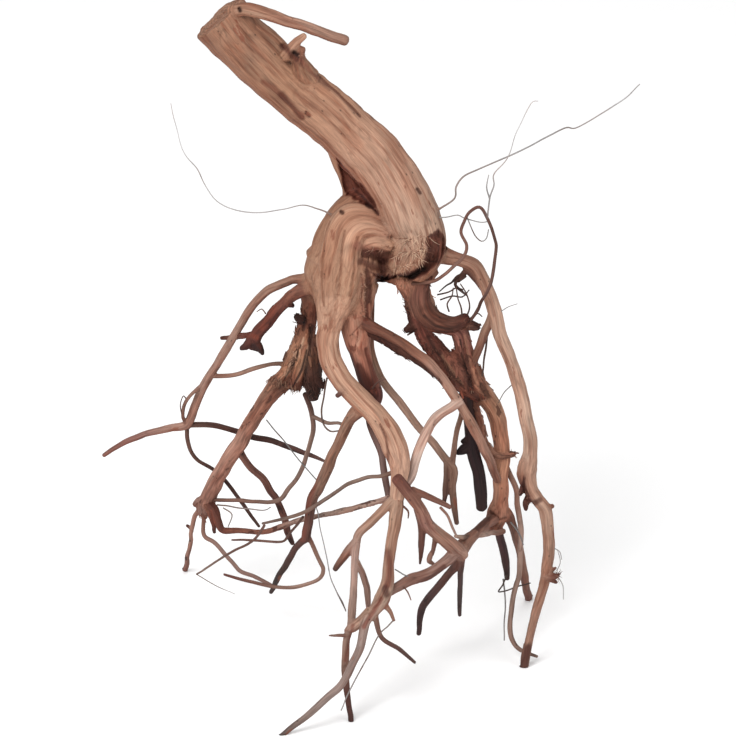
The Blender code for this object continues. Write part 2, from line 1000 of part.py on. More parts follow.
JOINT_LEFT_ROOT = (
    (456, 552, 55, 7.4),
    (442, 564, 50, 6.4),
    (429, 573, 46, 6.3),
    (412, 579, 40, 6),
    (400, 586, 35, 5.6),
    (387, 593, 28, 5),
)
grow("joint_left_root", bare_wood, JOINT_LEFT_ROOT)

JOINT_LEG_LEFT = (
    (458, 555, 58, 5),
    (455, 567, 61, 4.6),
    (442, 583, 67, 4.4),
    (429, 599, 72, 4.4),
    (422, 612, 78, 4.2),
    (419, 635, 86, 2.8),
)
grow("joint_leg_left", dark_root, JOINT_LEG_LEFT)

JOINT_LEG_RIGHT = (
    (461, 556, 58, 4.4),
    (461, 570, 63, 3.4),
    (460, 592, 70, 3.3),
    (460, 616, 78, 2.2),
)
grow("joint_leg_right", dark_root, JOINT_LEG_RIGHT)

KNOT_BRIDGE_ROOT = (
    (460, 550, 59, 7.5),
    (470, 539, 68, 6.4),
    (480, 530, 83, 6),
    (488, 523, 98, 6.6),
    (496, 519, 108, 7),
)
grow("knot_bridge_root", bare_wood, KNOT_BRIDGE_ROOT)


# Right root: long and pale, with a swelling at its middle, down to the surface on the right.
RIGHT_ROOT = (
    (432, 250, 98, 12),
    (444, 256, 98, 8.4),
    (460, 260, 97, 7.6),
    (474, 267, 95, 7.6),
    (483, 280, 93, 7.6),
    (487, 290, 91, 7.6),
    (492, 304, 89, 7.6),
    (496, 318, 87, 7.6),
    (500, 335, 86, 7.6),
    (509, 357, 84, 7.4),
    (516, 378, 82, 7.4),
    (522, 397, 80, 7.2),
    (526, 418, 78, 7.2),
    (530, 435, 77, 7.4),
    (530, 452, 76, 8),
    (527, 468, 76, 10.8),
    (528, 480, 76, 9.6),
)
RIGHT_ROOT_CRACK = (
    (522, 470, 71, 1.6),
    (524, 480, 70, 2.4),
    (526, 498, 71, 1.4),
)
grow("right_root", bare_wood, RIGHT_ROOT, hollows=(RIGHT_ROOT_CRACK,))

RIGHT_ROOT_TIP = (
    (528, 478, 76, 9.4),
    (531, 490, 76, 8.6),
    (538, 500, 76, 7.4),
    (546, 511, 77, 7.2),
    (548, 532, 78, 7),
    (549, 547, 79, 6.8),
    (548, 562, 80, 6.5),
    (546, 578, 81, 6.2),
    (540, 600, 82, 5.8),
    (533, 621, 83, 5.5),
    (530, 638, 84, 5.3),
    (528, 654, 85, 5),
    (524, 674, 86.5, 4.6),
)
RIGHT_TIP_NUB = (
    (546, 508, 77, 4),
    (553, 506, 76, 2.4),
)
RIGHT_TIP_TWIGGY_NUB = (
    (547, 576, 80, 5),
    (556, 577, 78, 4.4),
    (561, 572, 77, 2.4),
)
grow("right_root_tip", bare_wood, RIGHT_ROOT_TIP, stubs=(RIGHT_TIP_NUB, RIGHT_TIP_TWIGGY_NUB))

RIGHT_BRIDGE_ROOT = (
    (493, 312, 88, 5.4),
    (487, 327, 90, 5),
    (481, 343, 94, 4.8),
    (475, 358, 98, 4.8),
    (468, 370, 101, 4.8),
)
grow("right_bridge_root", bare_wood, RIGHT_BRIDGE_ROOT)

# Thin tendril that leaves the torn base and loops over in front of the right root.
TENDRIL = (
    (412, 284, 89, 2.4),
    (432, 282, 83, 2),
    (444, 275, 80, 1.9),
    (453, 267, 79, 1.9),
    (463, 257, 79, 1.9),
    (466, 246, 81, 1.9),
    (461, 233, 83, 1.9),
    (464, 222, 84, 1.9),
    (469, 213, 85, 1.9),
    (479, 208, 86, 1.9),
    (487, 218, 86, 1.9),
    (494, 240, 85, 1.9),
    (495, 251, 84, 1.9),
    (492, 279, 81, 1.9),
    (488, 290, 80, 1.9),
    (483, 299, 81, 1.9),
    (478, 309, 87, 1.9),
    (468, 324, 96, 1.9),
)
grow("tendril", rootlet, TENDRIL)


# Long rootlets, hair thin, that stand out from the crown and the tendril.
LONG_ROOTLET_RIGHT = (
    (432, 214, 96, 1.8),
    (453, 200, 95, 1.4),
    (459, 183, 95, 1.3),
    (477, 171, 95, 1.3),
    (509, 157, 96, 1.2),
    (549, 137, 97, 1.2),
    (581, 127, 98, 1.1),
    (613, 107, 99, 1.1),
    (638, 86, 100, 1),
)
grow("long_rootlet_right", rootlet, LONG_ROOTLET_RIGHT, stretch=2.0)

LONG_ROOTLET_UPPER = (
    (486, 217, 86, 1.3),
    (489, 198, 86, 1.2),
    (494, 176, 86, 1.2),
    (506, 160, 87, 1.2),
    (516, 132, 88, 1.1),
    (529, 106, 89, 1),
    (537, 103, 90, 1),
)
grow("long_rootlet_upper", rootlet, LONG_ROOTLET_UPPER, stretch=2.0)

LONG_ROOTLET_LEFT = (
    (334, 216, 90, 1.6),
    (310, 210, 88, 1.3),
    (284, 210, 88, 1.3),
    (245, 212, 90, 1.2),
    (217, 201, 92, 1.2),
    (197, 169, 95, 1.1),
    (185, 153, 97, 1.1),
    (177, 127, 99, 1.1),
    (172, 105, 100, 1),
)
grow("long_rootlet_left", rootlet, LONG_ROOTLET_LEFT, stretch=2.0)

remove_object(ground)
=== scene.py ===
"""Looks of an aquarium root: a sawn length of driftwood trunk that stands on its own roots.

The roots come first, a group at a time, because the trunk takes their starts into its crown. After
the trunk come the hair rootlets, torn fibres and bark flakes, and then floor, light and camera.
"""

import itertools
import math

import bmesh
import bpy
import numpy as np
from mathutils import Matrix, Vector
from mathutils.bvhtree import BVHTree


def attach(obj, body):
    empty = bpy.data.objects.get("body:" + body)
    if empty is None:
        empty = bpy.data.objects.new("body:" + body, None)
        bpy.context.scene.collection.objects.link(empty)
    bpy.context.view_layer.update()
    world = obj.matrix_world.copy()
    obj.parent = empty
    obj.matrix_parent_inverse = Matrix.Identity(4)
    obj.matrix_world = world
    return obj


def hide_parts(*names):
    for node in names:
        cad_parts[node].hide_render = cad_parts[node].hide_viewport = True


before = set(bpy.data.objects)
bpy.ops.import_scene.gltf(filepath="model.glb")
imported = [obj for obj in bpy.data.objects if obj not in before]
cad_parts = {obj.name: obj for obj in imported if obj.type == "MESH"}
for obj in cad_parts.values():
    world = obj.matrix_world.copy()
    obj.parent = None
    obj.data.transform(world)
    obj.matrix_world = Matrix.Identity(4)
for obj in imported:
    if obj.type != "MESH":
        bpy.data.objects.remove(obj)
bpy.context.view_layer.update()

# Right root and its neighbours: long, pale, barkless roots of the same wood as the trunk, worn
# smooth by water. They grew out of the crown on the right, and some cross behind the front root.
#
# A root follows stations, told as rows of text: its column and row in the front view, how many
# millimetres it lies behind the foremost foot, and its width in millimetres.
MM = 0.001
PIXEL_SIZE = 0.55 * MM
FLOOR_ROW = 734
MIDDLE_COLUMN = 369
MIDDLE_DEPTH = 104 * MM
LOOKING_DOWN = math.radians(25)
TOWARDS_VIEWER = np.array((0.0, -math.cos(LOOKING_DOWN), math.sin(LOOKING_DOWN)))


def rows(told):
    """Rows of numbers that are told as text, with a comma between two rows."""
    return np.array([row.split() for row in told.split(",")], float)


def picture_point(stations):
    """The upright points of stations in the front view, in metres."""
    depth = stations[:, 2] * MM
    rise = (FLOOR_ROW - stations[:, 1]) * PIXEL_SIZE
    height = (rise - depth * math.sin(LOOKING_DOWN)) / math.cos(LOOKING_DOWN)
    across = (stations[:, 0] - MIDDLE_COLUMN) * PIXEL_SIZE
    return np.stack((across, depth - MIDDLE_DEPTH, height), axis=1)


def picture_place(points):
    """Where upright points show in the front view, as columns and rows."""
    depth = points[:, 1] + MIDDLE_DEPTH
    rise = points[:, 2] * math.cos(LOOKING_DOWN) + depth * math.sin(LOOKING_DOWN)
    columns = points[:, 0] / PIXEL_SIZE + MIDDLE_COLUMN
    return np.stack((columns, FLOOR_ROW - rise / PIXEL_SIZE), axis=1)


# Odd starts in the noise, such as 3.3, only keep one use of it apart from the others.
LATTICE_SIZE = 32
LATTICE_SEED = 7
lattice = np.random.default_rng(LATTICE_SEED).random((LATTICE_SIZE,) * 3)


def soft_noise(places, start):
    """Smooth noise from 0 to 1 that changes once in each unit of the places."""
    places = places + start
    cell = np.floor(places).astype(int)
    part = places - cell
    part = part * part * (3 - 2 * part)
    total = np.zeros(len(places))
    for corner in itertools.product((0, 1), repeat=3):
        weight = np.prod(np.where(corner, part, 1 - part), axis=1)
        total += weight * lattice[tuple(((cell + corner) % LATTICE_SIZE).T)]
    return total


def ease(values):
    """Values cut off at 0 and 1, with a soft start and end between them."""
    values = np.clip(values, 0, 1)
    return values * values * (3 - 2 * values)


ROUTE_STEP = 1.2 * MM
# The width and the path of a root waver over these lengths in mm.
WIDTH_WAVES = (14, 4.5)
PATH_WAVES = (9, 9)
LEAST_WIDTH = 0.9
LONG_SWELL = 0.13
SHORT_SWELL = 0.07
WOBBLE = 1.1 * MM
STEADY_ENDS = 6 * MM


def route_along(stations, number):
    """A smooth route: centres, radii, distance run, and the axes of the section at each centre."""
    marks = rows(stations)
    points = picture_point(marks)
    ends = np.vstack((points[:1], points, points[-1:]))
    centres, radii = [], []
    for index in range(len(points) - 1):
        before, start, end, after = ends[index : index + 4]
        count = max(2, round(np.linalg.norm(end - start) / ROUTE_STEP))
        share = np.arange(count)[:, None] / count
        square = (2 * before - 5 * start + 4 * end - after) * share**2
        cube = (3 * start - before - 3 * end + after) * share**3
        centres.append(0.5 * (2 * start + (end - before) * share + square + cube))
        radii.append(marks[index, 3] * (1 - share[:, 0]) + marks[index + 1, 3] * share[:, 0])
    centre = np.vstack(centres + [points[-1:]])
    radius = np.append(np.concatenate(radii), marks[-1, 3]) * MM / 2
    gaps = np.linalg.norm(np.diff(centre, axis=0), axis=1)
    run = np.append(0, np.cumsum(gaps))
    uneven = []
    for wave in WIDTH_WAVES + PATH_WAVES:
        own_place = (run * 0 + len(uneven) * 5.1, run * 0 + number * 1.7)
        uneven.append(soft_noise(np.stack((run / (wave * MM), *own_place), axis=1), 3.3))
    radius = radius * (LEAST_WIDTH + LONG_SWELL * uneven[0] + SHORT_SWELL * uneven[1])
    along = np.gradient(centre, axis=0)
    along /= np.linalg.norm(along, axis=1)[:, None]
    across, back = np.zeros_like(along), np.zeros_like(along)
    upright = -TOWARDS_VIEWER
    for index, ahead in enumerate(along):
        upright = upright - ahead * upright.dot(ahead)
        upright = upright / np.linalg.norm(upright)
        back[index] = upright
        across[index] = np.cross(ahead, upright)
    swing = WOBBLE * np.minimum(1, np.minimum(run, run[-1] - run) / STEADY_ENDS)
    centre = centre + (across.T * (uneven[2] - 0.5) * swing + back.T * (uneven[3] - 0.5) * swing).T
    axes = {"along": along, "across": across, "back": back}
    return {"centre": centre, "radius": radius, "run": run, "start": number * 7.31, **axes}


def linear(colour):
    """A hex colour, as seen on a screen, as linear red, green and blue."""
    values = (int(colour[place : place + 2], 16) / 255 for place in (1, 3, 5))
    return [v / 12.92 if v <= 0.04045 else ((v + 0.055) / 1.055) ** 2.4 for v in values]


grown = {}
DEEPEN = 0.74


def wood_tones(tones):
    """The colours of a run of tones. They are told as lit wood, which looks paler than it is."""
    return DEEPEN * np.array([linear(tone) for tone in tones.split()])


def root(name, tones, flute, stations, stubs=(), rough=0.0, swell=1.3):
    """Notes a root: its tones from its start to its end, how wide its flutes are in mm, its stubs,
    how many mm its plates of bark stand out, and how far its start is swollen."""
    number = len(grown) + 1
    parts = [(stations, tones), *stubs]
    routes = []
    for place, (part, colours) in enumerate(parts):
        route = route_along(part, number + 0.37 * place)
        route["tones"] = wood_tones(colours)
        route["flute"] = flute * MM
        route["rough"] = np.atleast_1d(rough if place == 0 else np.max(rough)) * MM
        route["swell"] = swell
        routes.append(route)
    grown[name] = routes


# A root is a little flatter than round. Its ends are domes, with rings at these angles.
SHARE_OF_DEPTH = 0.88
ROUND_END = (25, 50, 72)


def tube(route, sides, blunt=0.6, flat=False):
    """Corners and faces of a closed tube along a route. Its ends are rounded, or its start flat."""
    turn = np.arange(sides) / sides * 2 * math.pi
    centre, radius = route["centre"], route["radius"]
    rings = []
    for end, sign in ((0, -1), (-1, 1)):
        outward = sign * route["along"][end]
        caps = []
        for bend in map(math.radians, ROUND_END):
            lift = blunt * radius[end] * math.sin(bend)
            caps.append((end, centre[end] + outward * lift, radius[end] * math.cos(bend)))
        caps.append((end, centre[end] + outward * blunt * radius[end], 0.0))
        if flat and end == 0:
            caps = [(end, centre[end], 0.0)]
        rings.append(caps)
    middle = [(index, centre[index], radius[index]) for index in range(len(centre))]
    stack = rings[0][::-1] + middle + rings[1]
    corners, faces = [], []
    for index, point, width in stack:
        around = np.cos(turn)[:, None] * route["across"][index]
        around = around + np.sin(turn)[:, None] * route["back"][index] * SHARE_OF_DEPTH
        corners.append(point + around * width if width else point[None])
    first = 1
    last = 1 + sides * (len(stack) - 2)
    for side in range(sides):
        beside = (side + 1) % sides
        faces.append((0, first + side, first + beside))
        faces.append((last, last - sides + beside, last - sides + side))
    for ring in range(len(stack) - 3):
        here = first + ring * sides
        for side in range(sides):
            beside = (side + 1) % sides
            faces.append((here + side, here + sides + side, here + sides + beside, here + beside))
    return np.vstack(corners), faces


COLLAR_LENGTH = 26 * MM
COLLAR_END = 0.82
FEWEST_RINGS = 4


def collar(route):
    """The start of a root, swollen where it leaves the older wood and then thinner than the root."""
    kept = max(FEWEST_RINGS, int(np.searchsorted(route["run"], COLLAR_LENGTH)))
    part = {key: route[key][:kept] for key in ("centre", "radius", "along", "across", "back")}
    share = ease(route["run"][:kept] / COLLAR_LENGTH)
    part["radius"] = part["radius"] * (route["swell"] + (COLLAR_END - route["swell"]) * share)
    return part


def joined(tubes):
    """The corners and faces of all the tubes together."""
    corners, faces, count = [], [], 0
    for points, sides in tubes:
        faces += [tuple(corner + count for corner in side) for side in sides]
        corners.append(points)
        count += len(points)
    return np.vstack(corners), faces


def read_field(items, field, width, kind=float):
    """One field of a mesh's corners or edges, as an array."""
    values = np.empty(len(items) * width, kind)
    items.foreach_get(field, values)
    return values.reshape(-1, width)


def in_scene(name, data):
    """A new object that is in the scene."""
    made = bpy.data.objects.new(name, data)
    bpy.context.scene.collection.objects.link(made)
    return made


LOOSE_BIT = 150


def drop_loose_bits(skin):
    """Deletes the specks that are left inside a skin or beside its thinnest ends."""
    first, second = read_field(skin.edges, "vertices", 2, int).T
    part = np.arange(len(skin.vertices))
    settled = False
    while not settled:
        lower = np.minimum(part[first], part[second])
        fresh = part.copy()
        np.minimum.at(fresh, first, lower)
        np.minimum.at(fresh, second, lower)
        fresh = fresh[fresh]
        settled = np.array_equal(fresh, part)
        part = fresh
    loose = np.bincount(part, minlength=len(part))[part] < LOOSE_BIT
    shape = bmesh.new()
    shape.from_mesh(skin)
    bits = [corner for corner, gone in zip(shape.verts, loose) if gone]
    bmesh.ops.delete(shape, geom=bits, context="VERTS")
    shape.to_mesh(skin)
    shape.free()


# Each round of smoothing pulls a skin in and then pushes it out, so that it keeps its thickness.
SMOOTHING = 5
PULL_AND_PUSH = (0.5, -0.52)


def fused(tubes, voxel):
    """One skin round all the tubes, as corners and faces, with its creases worked smooth."""
    corners, faces = joined(tubes)
    rough = bpy.data.meshes.new("rough")
    rough.from_pydata(corners, [], faces)
    block = in_scene("rough", rough)
    step = block.modifiers.new("one skin", "REMESH")
    step.mode = "VOXEL"
    step.voxel_size = voxel * MM
    graph = bpy.context.evaluated_depsgraph_get()
    skin = bpy.data.meshes.new_from_object(block.evaluated_get(graph))
    bpy.data.objects.remove(block)
    bpy.data.meshes.remove(rough)
    drop_loose_bits(skin)
    points = read_field(skin.vertices, "co", 3)
    first, second = read_field(skin.edges, "vertices", 2, int).T
    neighbours = np.bincount(first, minlength=len(points)) + np.bincount(second, minlength=len(points))
    for _ in range(SMOOTHING):
        for pull in PULL_AND_PUSH:
            middle = np.zeros_like(points)
            for axis in range(3):
                middle[:, axis] = np.bincount(first, points[second, axis], len(points))
                middle[:, axis] += np.bincount(second, points[first, axis], len(points))
            points = points + pull * (middle / neighbours[:, None] - points)
    skin.vertices.foreach_set("co", points.ravel())
    skin.update()
    return skin, points


# The grain turns slowly round a root, by SPIRAL radians in a metre. Where two roots join, the
# grain of one blends into that of the other over JOIN_WIDTH of a radius, or NARROW_JOIN.
SPIRAL = 5.0
REACH = 8 * MM
JOIN_WIDTH = 0.45
NARROW_JOIN = 1.2 * MM
FAR_AWAY = 1.0
CHUNK = 20000


def follow(points, routes):
    """The two routes nearest to every point, its place in their sections, and the nearer's share."""
    count = len(points)
    gap = np.full((2, count), FAR_AWAY)
    which = np.zeros((2, count), int)
    section = np.zeros((2, count, 3))
    radius = np.full((2, count), MM)
    tables = (gap, which, section, radius)
    for number, route in enumerate(routes):
        centre = route["centre"]
        reach = route["radius"].max() * 2 + REACH
        inside = (points > centre.min(axis=0) - reach) & (points < centre.max(axis=0) + reach)
        near = np.flatnonzero(inside.all(axis=1))
        for part in np.array_split(near, len(near) // CHUNK + 1):
            here = points[part]
            square = (here**2).sum(1)[:, None] + (centre**2).sum(1) - 2 * here @ centre.T
            away = np.sqrt(np.maximum(square, 0)) - route["radius"]
            spot = away.argmin(axis=1)
            nearness = away[np.arange(len(part)), spot]
            offset = here - centre[spot]
            run = route["run"][spot] + (offset * route["along"][spot]).sum(1)
            side = (offset * route["across"][spot]).sum(1)
            deep = (offset * route["back"][spot]).sum(1)
            cosine, sine = np.cos(run * SPIRAL), np.sin(run * SPIRAL)
            place = np.stack((side * cosine - deep * sine, side * sine + deep * cosine, run), axis=1)
            found = (nearness, np.full(len(part), number), place, route["radius"][spot])
            nearest = nearness < gap[0, part]
            second = ~nearest & (nearness < gap[1, part])
            for table, values in zip(tables, found):
                table[1, part[nearest]] = table[0, part[nearest]]
                table[0, part[nearest]] = values[nearest]
                table[1, part[second]] = values[second]
    alone = gap[1] == FAR_AWAY
    for table in tables[1:]:
        table[1, alone] = table[0, alone]
    width = np.maximum(NARROW_JOIN, JOIN_WIDTH * radius[0])
    share = 0.5 + 0.5 * ease((gap[1] - gap[0]) / width)
    return which, section, radius, share


# Water and drying leave flutes, LONG_FLUTE times as long as wide, with narrow grooves between
# them that fade where the wood is low. Bark breaks into plates that stand out in steps, with a
# crack at each step. These are told as shares of a flute's or a plate's own size.
LONG_FLUTE = 10
FINE_FLUTE = 2.3
FINE_SHARE = 0.5
GROOVE_SPACING = 1.4
GROOVE_WIDTH = 0.1
GROOVE_SHARE, GROOVE_GAIN = 0.8, 2
FLUTE_HEIGHT = 0.8
GROOVE_DEPTH = 0.2
DEPTH_OF_FLUTE = 0.28
DEPTH_OF_ROOT = 0.2
TONE_SWING = 0.17
GROOVE_SHADE = 0.3
CRACK_SHADE = 0.55
PLATE = np.array((2.6, 2.6, 7)) * MM
SMALL_PLATE = 2.7
BROAD_PLATES, SMALL_PLATES = 0.75, 0.25
PLATE_STEPS = 3.5
PLATE_EDGE = 4
CRACK_EDGE = 5
WAVER_PATCH = np.array((7, 7, 13)) * MM
WAVER = 1.1
STAIN_PATCH = np.array((6, 6, 20)) * MM
STAIN_TONE = np.array((0.1, 0.2, 0.24))
STAIN_FROM, STAIN_SOFTNESS = 0.5, 0.25


def relief(routes, which, section, radius):
    """How far the flutes, grooves and bark move each point, and its colour."""
    flute = np.array([route["flute"] for route in routes])[which][:, None]
    start = np.array([route["start"] for route in routes])[which][:, None]
    stretched = section / flute / np.array((1, 1, LONG_FLUTE))
    waver = soft_noise(section / WAVER_PATCH, start + 17) - 0.5
    stretched = stretched + (WAVER * waver)[:, None] * np.array((1, -1, 0))
    wide = soft_noise(stretched, start) - 0.5
    fine = soft_noise(stretched * FINE_FLUTE, start + 5) - 0.5
    line = soft_noise(stretched * GROOVE_SPACING, start + 9) - 0.5
    groove = np.clip(1 - np.abs(line) / GROOVE_WIDTH, 0, 1) * ease(wide * GROOVE_GAIN + GROOVE_SHARE)
    deep = np.minimum(flute[:, 0] * DEPTH_OF_FLUTE, radius * DEPTH_OF_ROOT)
    height = deep * (FLUTE_HEIGHT * (wide + FINE_SHARE * fine) - GROOVE_DEPTH * groove)
    colour, rough = np.zeros((len(section), 3)), np.zeros(len(section))
    for number, route in enumerate(routes):
        mine = which == number
        share = np.clip(section[mine, 2] / route["run"][-1], 0, 1)
        steps = np.linspace(0, 1, len(route["tones"]))
        for channel in range(3):
            colour[mine, channel] = np.interp(share, steps, route["tones"][:, channel])
        rough[mine] = np.interp(share, np.linspace(0, 1, len(route["rough"])), route["rough"])
    broad = soft_noise(section / PLATE, start)
    small = soft_noise(section / PLATE * SMALL_PLATE, start)
    level = PLATE_STEPS * (BROAD_PLATES * broad + SMALL_PLATES * small)
    step = level - np.floor(level)
    terrace = np.floor(level) + ease(step * PLATE_EDGE) - PLATE_STEPS / 2
    height = height + rough * terrace / PLATE_STEPS * 2
    crack = (1 - ease(step * CRACK_EDGE)) * np.minimum(rough / MM, 1)
    stain = ease((soft_noise(section / STAIN_PATCH, start + 3) - STAIN_FROM) / STAIN_SOFTNESS)
    colour = colour * (1 - stain[:, None] * STAIN_TONE)
    shade = (1 + TONE_SWING * (wide + FINE_SHARE * fine)) * (1 - GROOVE_SHADE * groove)
    return height, colour * (shade * (1 - CRACK_SHADE * crack))[:, None]


def line_distance(places, line):
    """How far places in the front view are from a line of columns and rows, in pixels. Where the
    line comes back to its start, places inside it have a distance below 0."""
    nearest = np.full(len(places), np.inf)
    for start, end in zip(line, line[1:]):
        step = end - start
        share = np.clip(((places - start) @ step) / (step @ step), 0, 1)
        off = np.linalg.norm(places - start - share[:, None] * step, axis=1)
        nearest = np.minimum(nearest, off)
    if (line[0] == line[-1]).all():
        inside = np.zeros(len(places), bool)
        for (x0, y0), (x1, y1) in zip(line, line[1:]):
            if y0 != y1:
                beside = (y0 > places[:, 1]) != (y1 > places[:, 1])
                inside ^= beside & (places[:, 0] < (x1 - x0) * (places[:, 1] - y0) / (y1 - y0) + x0)
        nearest = np.where(inside, -nearest, nearest)
    return nearest


# The edge of a mark is as ragged as torn fibres of this size. A mark's colour and its dip end at
# these distances from its line, in widths, and those of a hollow in pixels inside its rim.
RAGGED = np.array((1.5, 1.5, 9)) * MM
RAGGED_HOLLOW = 4.0
RAGGED_LINE = 0.8
TONE_END, DIP_END = 1.35, 1.2
HOLLOW_TONE_END, HOLLOW_DIP_END = 0.6, 0.1
HOLLOW_SOFTNESS = 1.5
# Marks fade where the wood turns away from the viewer.
TURNED_AWAY, TURN_SOFTNESS = 0.15, 0.4


def marked(points, normals, colour, section, marks):
    """Adds marks seen from the front: the line they follow, width, depth in mm, colour, strength.
    A line that comes back to its start is the rim of a hollow."""
    places = picture_place(points)
    facing = ease((normals @ TOWARDS_VIEWER + TURNED_AWAY) / TURN_SOFTNESS)
    ragged = soft_noise(section / RAGGED, 2.2) - 0.5
    push = np.zeros(len(points))
    for told, width, depth, tone, strength in marks:
        line = rows(told)
        closed = (line[0] == line[-1]).all()
        near = line_distance(places, line) + ragged * (RAGGED_HOLLOW if closed else width * RAGGED_LINE)
        if closed:
            mask, dip = ease(HOLLOW_TONE_END - near / HOLLOW_SOFTNESS), ease(HOLLOW_DIP_END - near / width)
        else:
            mask, dip = ease(TONE_END - near / width), ease(DIP_END - near / width)
        push = np.maximum(push, dip * facing * depth * MM)
        blend = (mask * facing * strength)[:, None]
        colour = colour * (1 - blend) + wood_tones(tone) * blend
    return points - TOWARDS_VIEWER * push[:, None], colour


def write_layers(mesh, tint, fibre, fibre_beside, share, more=()):
    """Writes what the wood materials read, and more, as one value for each corner of a mesh."""
    for label, kind, field, values in (
        ("tint", "FLOAT_COLOR", "color", np.hstack((np.clip(tint, 0, 1), np.ones((len(tint), 1))))),
        ("fibre", "FLOAT_VECTOR", "vector", fibre),
        ("fibre_beside", "FLOAT_VECTOR", "vector", fibre_beside),
        ("share", "FLOAT", "value", share),
        *more,
    ):
        layer = mesh.attributes.new(label, kind, "POINT")
        layer.data.foreach_set(field, np.ascontiguousarray(values, dtype=float).ravel())


# Undersides are painted redder and darker: painted shade where the surface faces down.
UNDERSIDE_PAINTED_SHADE = np.array((0.16, 0.34, 0.4))
UNDERSIDE_FROM = 0.15
UNDERSIDE_SOFTNESS = 0.95


def dress(name, skin, points, routes, material, marks=()):
    """Shapes a skin by the routes it covers, writes what its material reads, and adds the piece."""
    normals = read_field(skin.vertex_normals, "vector", 3)
    which, section, radius, share = follow(points, routes)
    near_height, near_colour = relief(routes, which[0], section[0], radius[0])
    far_height, far_colour = relief(routes, which[1], section[1], radius[1])
    height = near_height * share + far_height * (1 - share)
    colour = near_colour * share[:, None] + far_colour * (1 - share[:, None])
    # Painted shade: faces that point down are made darker and redder.
    colour = colour * (1 - ease((UNDERSIDE_FROM - normals[:, 2:]) / UNDERSIDE_SOFTNESS) * UNDERSIDE_PAINTED_SHADE)
    points = points + normals * height[:, None]
    points, colour = marked(points, normals, colour, section[0], marks)
    points[:, 2] = np.maximum(points[:, 2], 0)
    skin.vertices.foreach_set("co", points.ravel())
    write_layers(skin, colour, section[0], section[1], share)
    skin.name = name
    skin.materials.clear()
    skin.materials.append(material)
    skin.shade_smooth()
    skin.update()
    return in_scene(name, skin)


ROOT_SIDES = 16


def routes_of(names):
    """The routes of some roots and of their stubs."""
    return [route for name in names for route in grown[name]]


def wood_piece(name, roots, material, voxel, starts=(), marks=()):
    """A piece of wood made of some roots, and of the starts of others that leave it. Its skin is
    made of voxels that are voxel mm wide."""
    routes = routes_of(roots)
    tubes = [tube(route, ROOT_SIDES) for route in routes]
    leaving = [grown[root_name][0] for root_name in starts]
    tubes += [tube(collar(route), ROOT_SIDES) for route in leaving]
    skin, points = fused(tubes, voxel)
    return dress(name, skin, points, routes + leaving, material, marks)


def add_node(tree, kind, values=None, links=None, **settings):
    """Adds a node with its settings, the values of its inputs, and the links into them."""
    made = tree.nodes.new(kind)
    for setting, value in settings.items():
        setattr(made, setting, value)
    for socket, value in (values or {}).items():
        made.inputs[socket].default_value = value
    for socket, source in (links or {}).items():
        tree.links.new(source, made.inputs[socket])
    return made


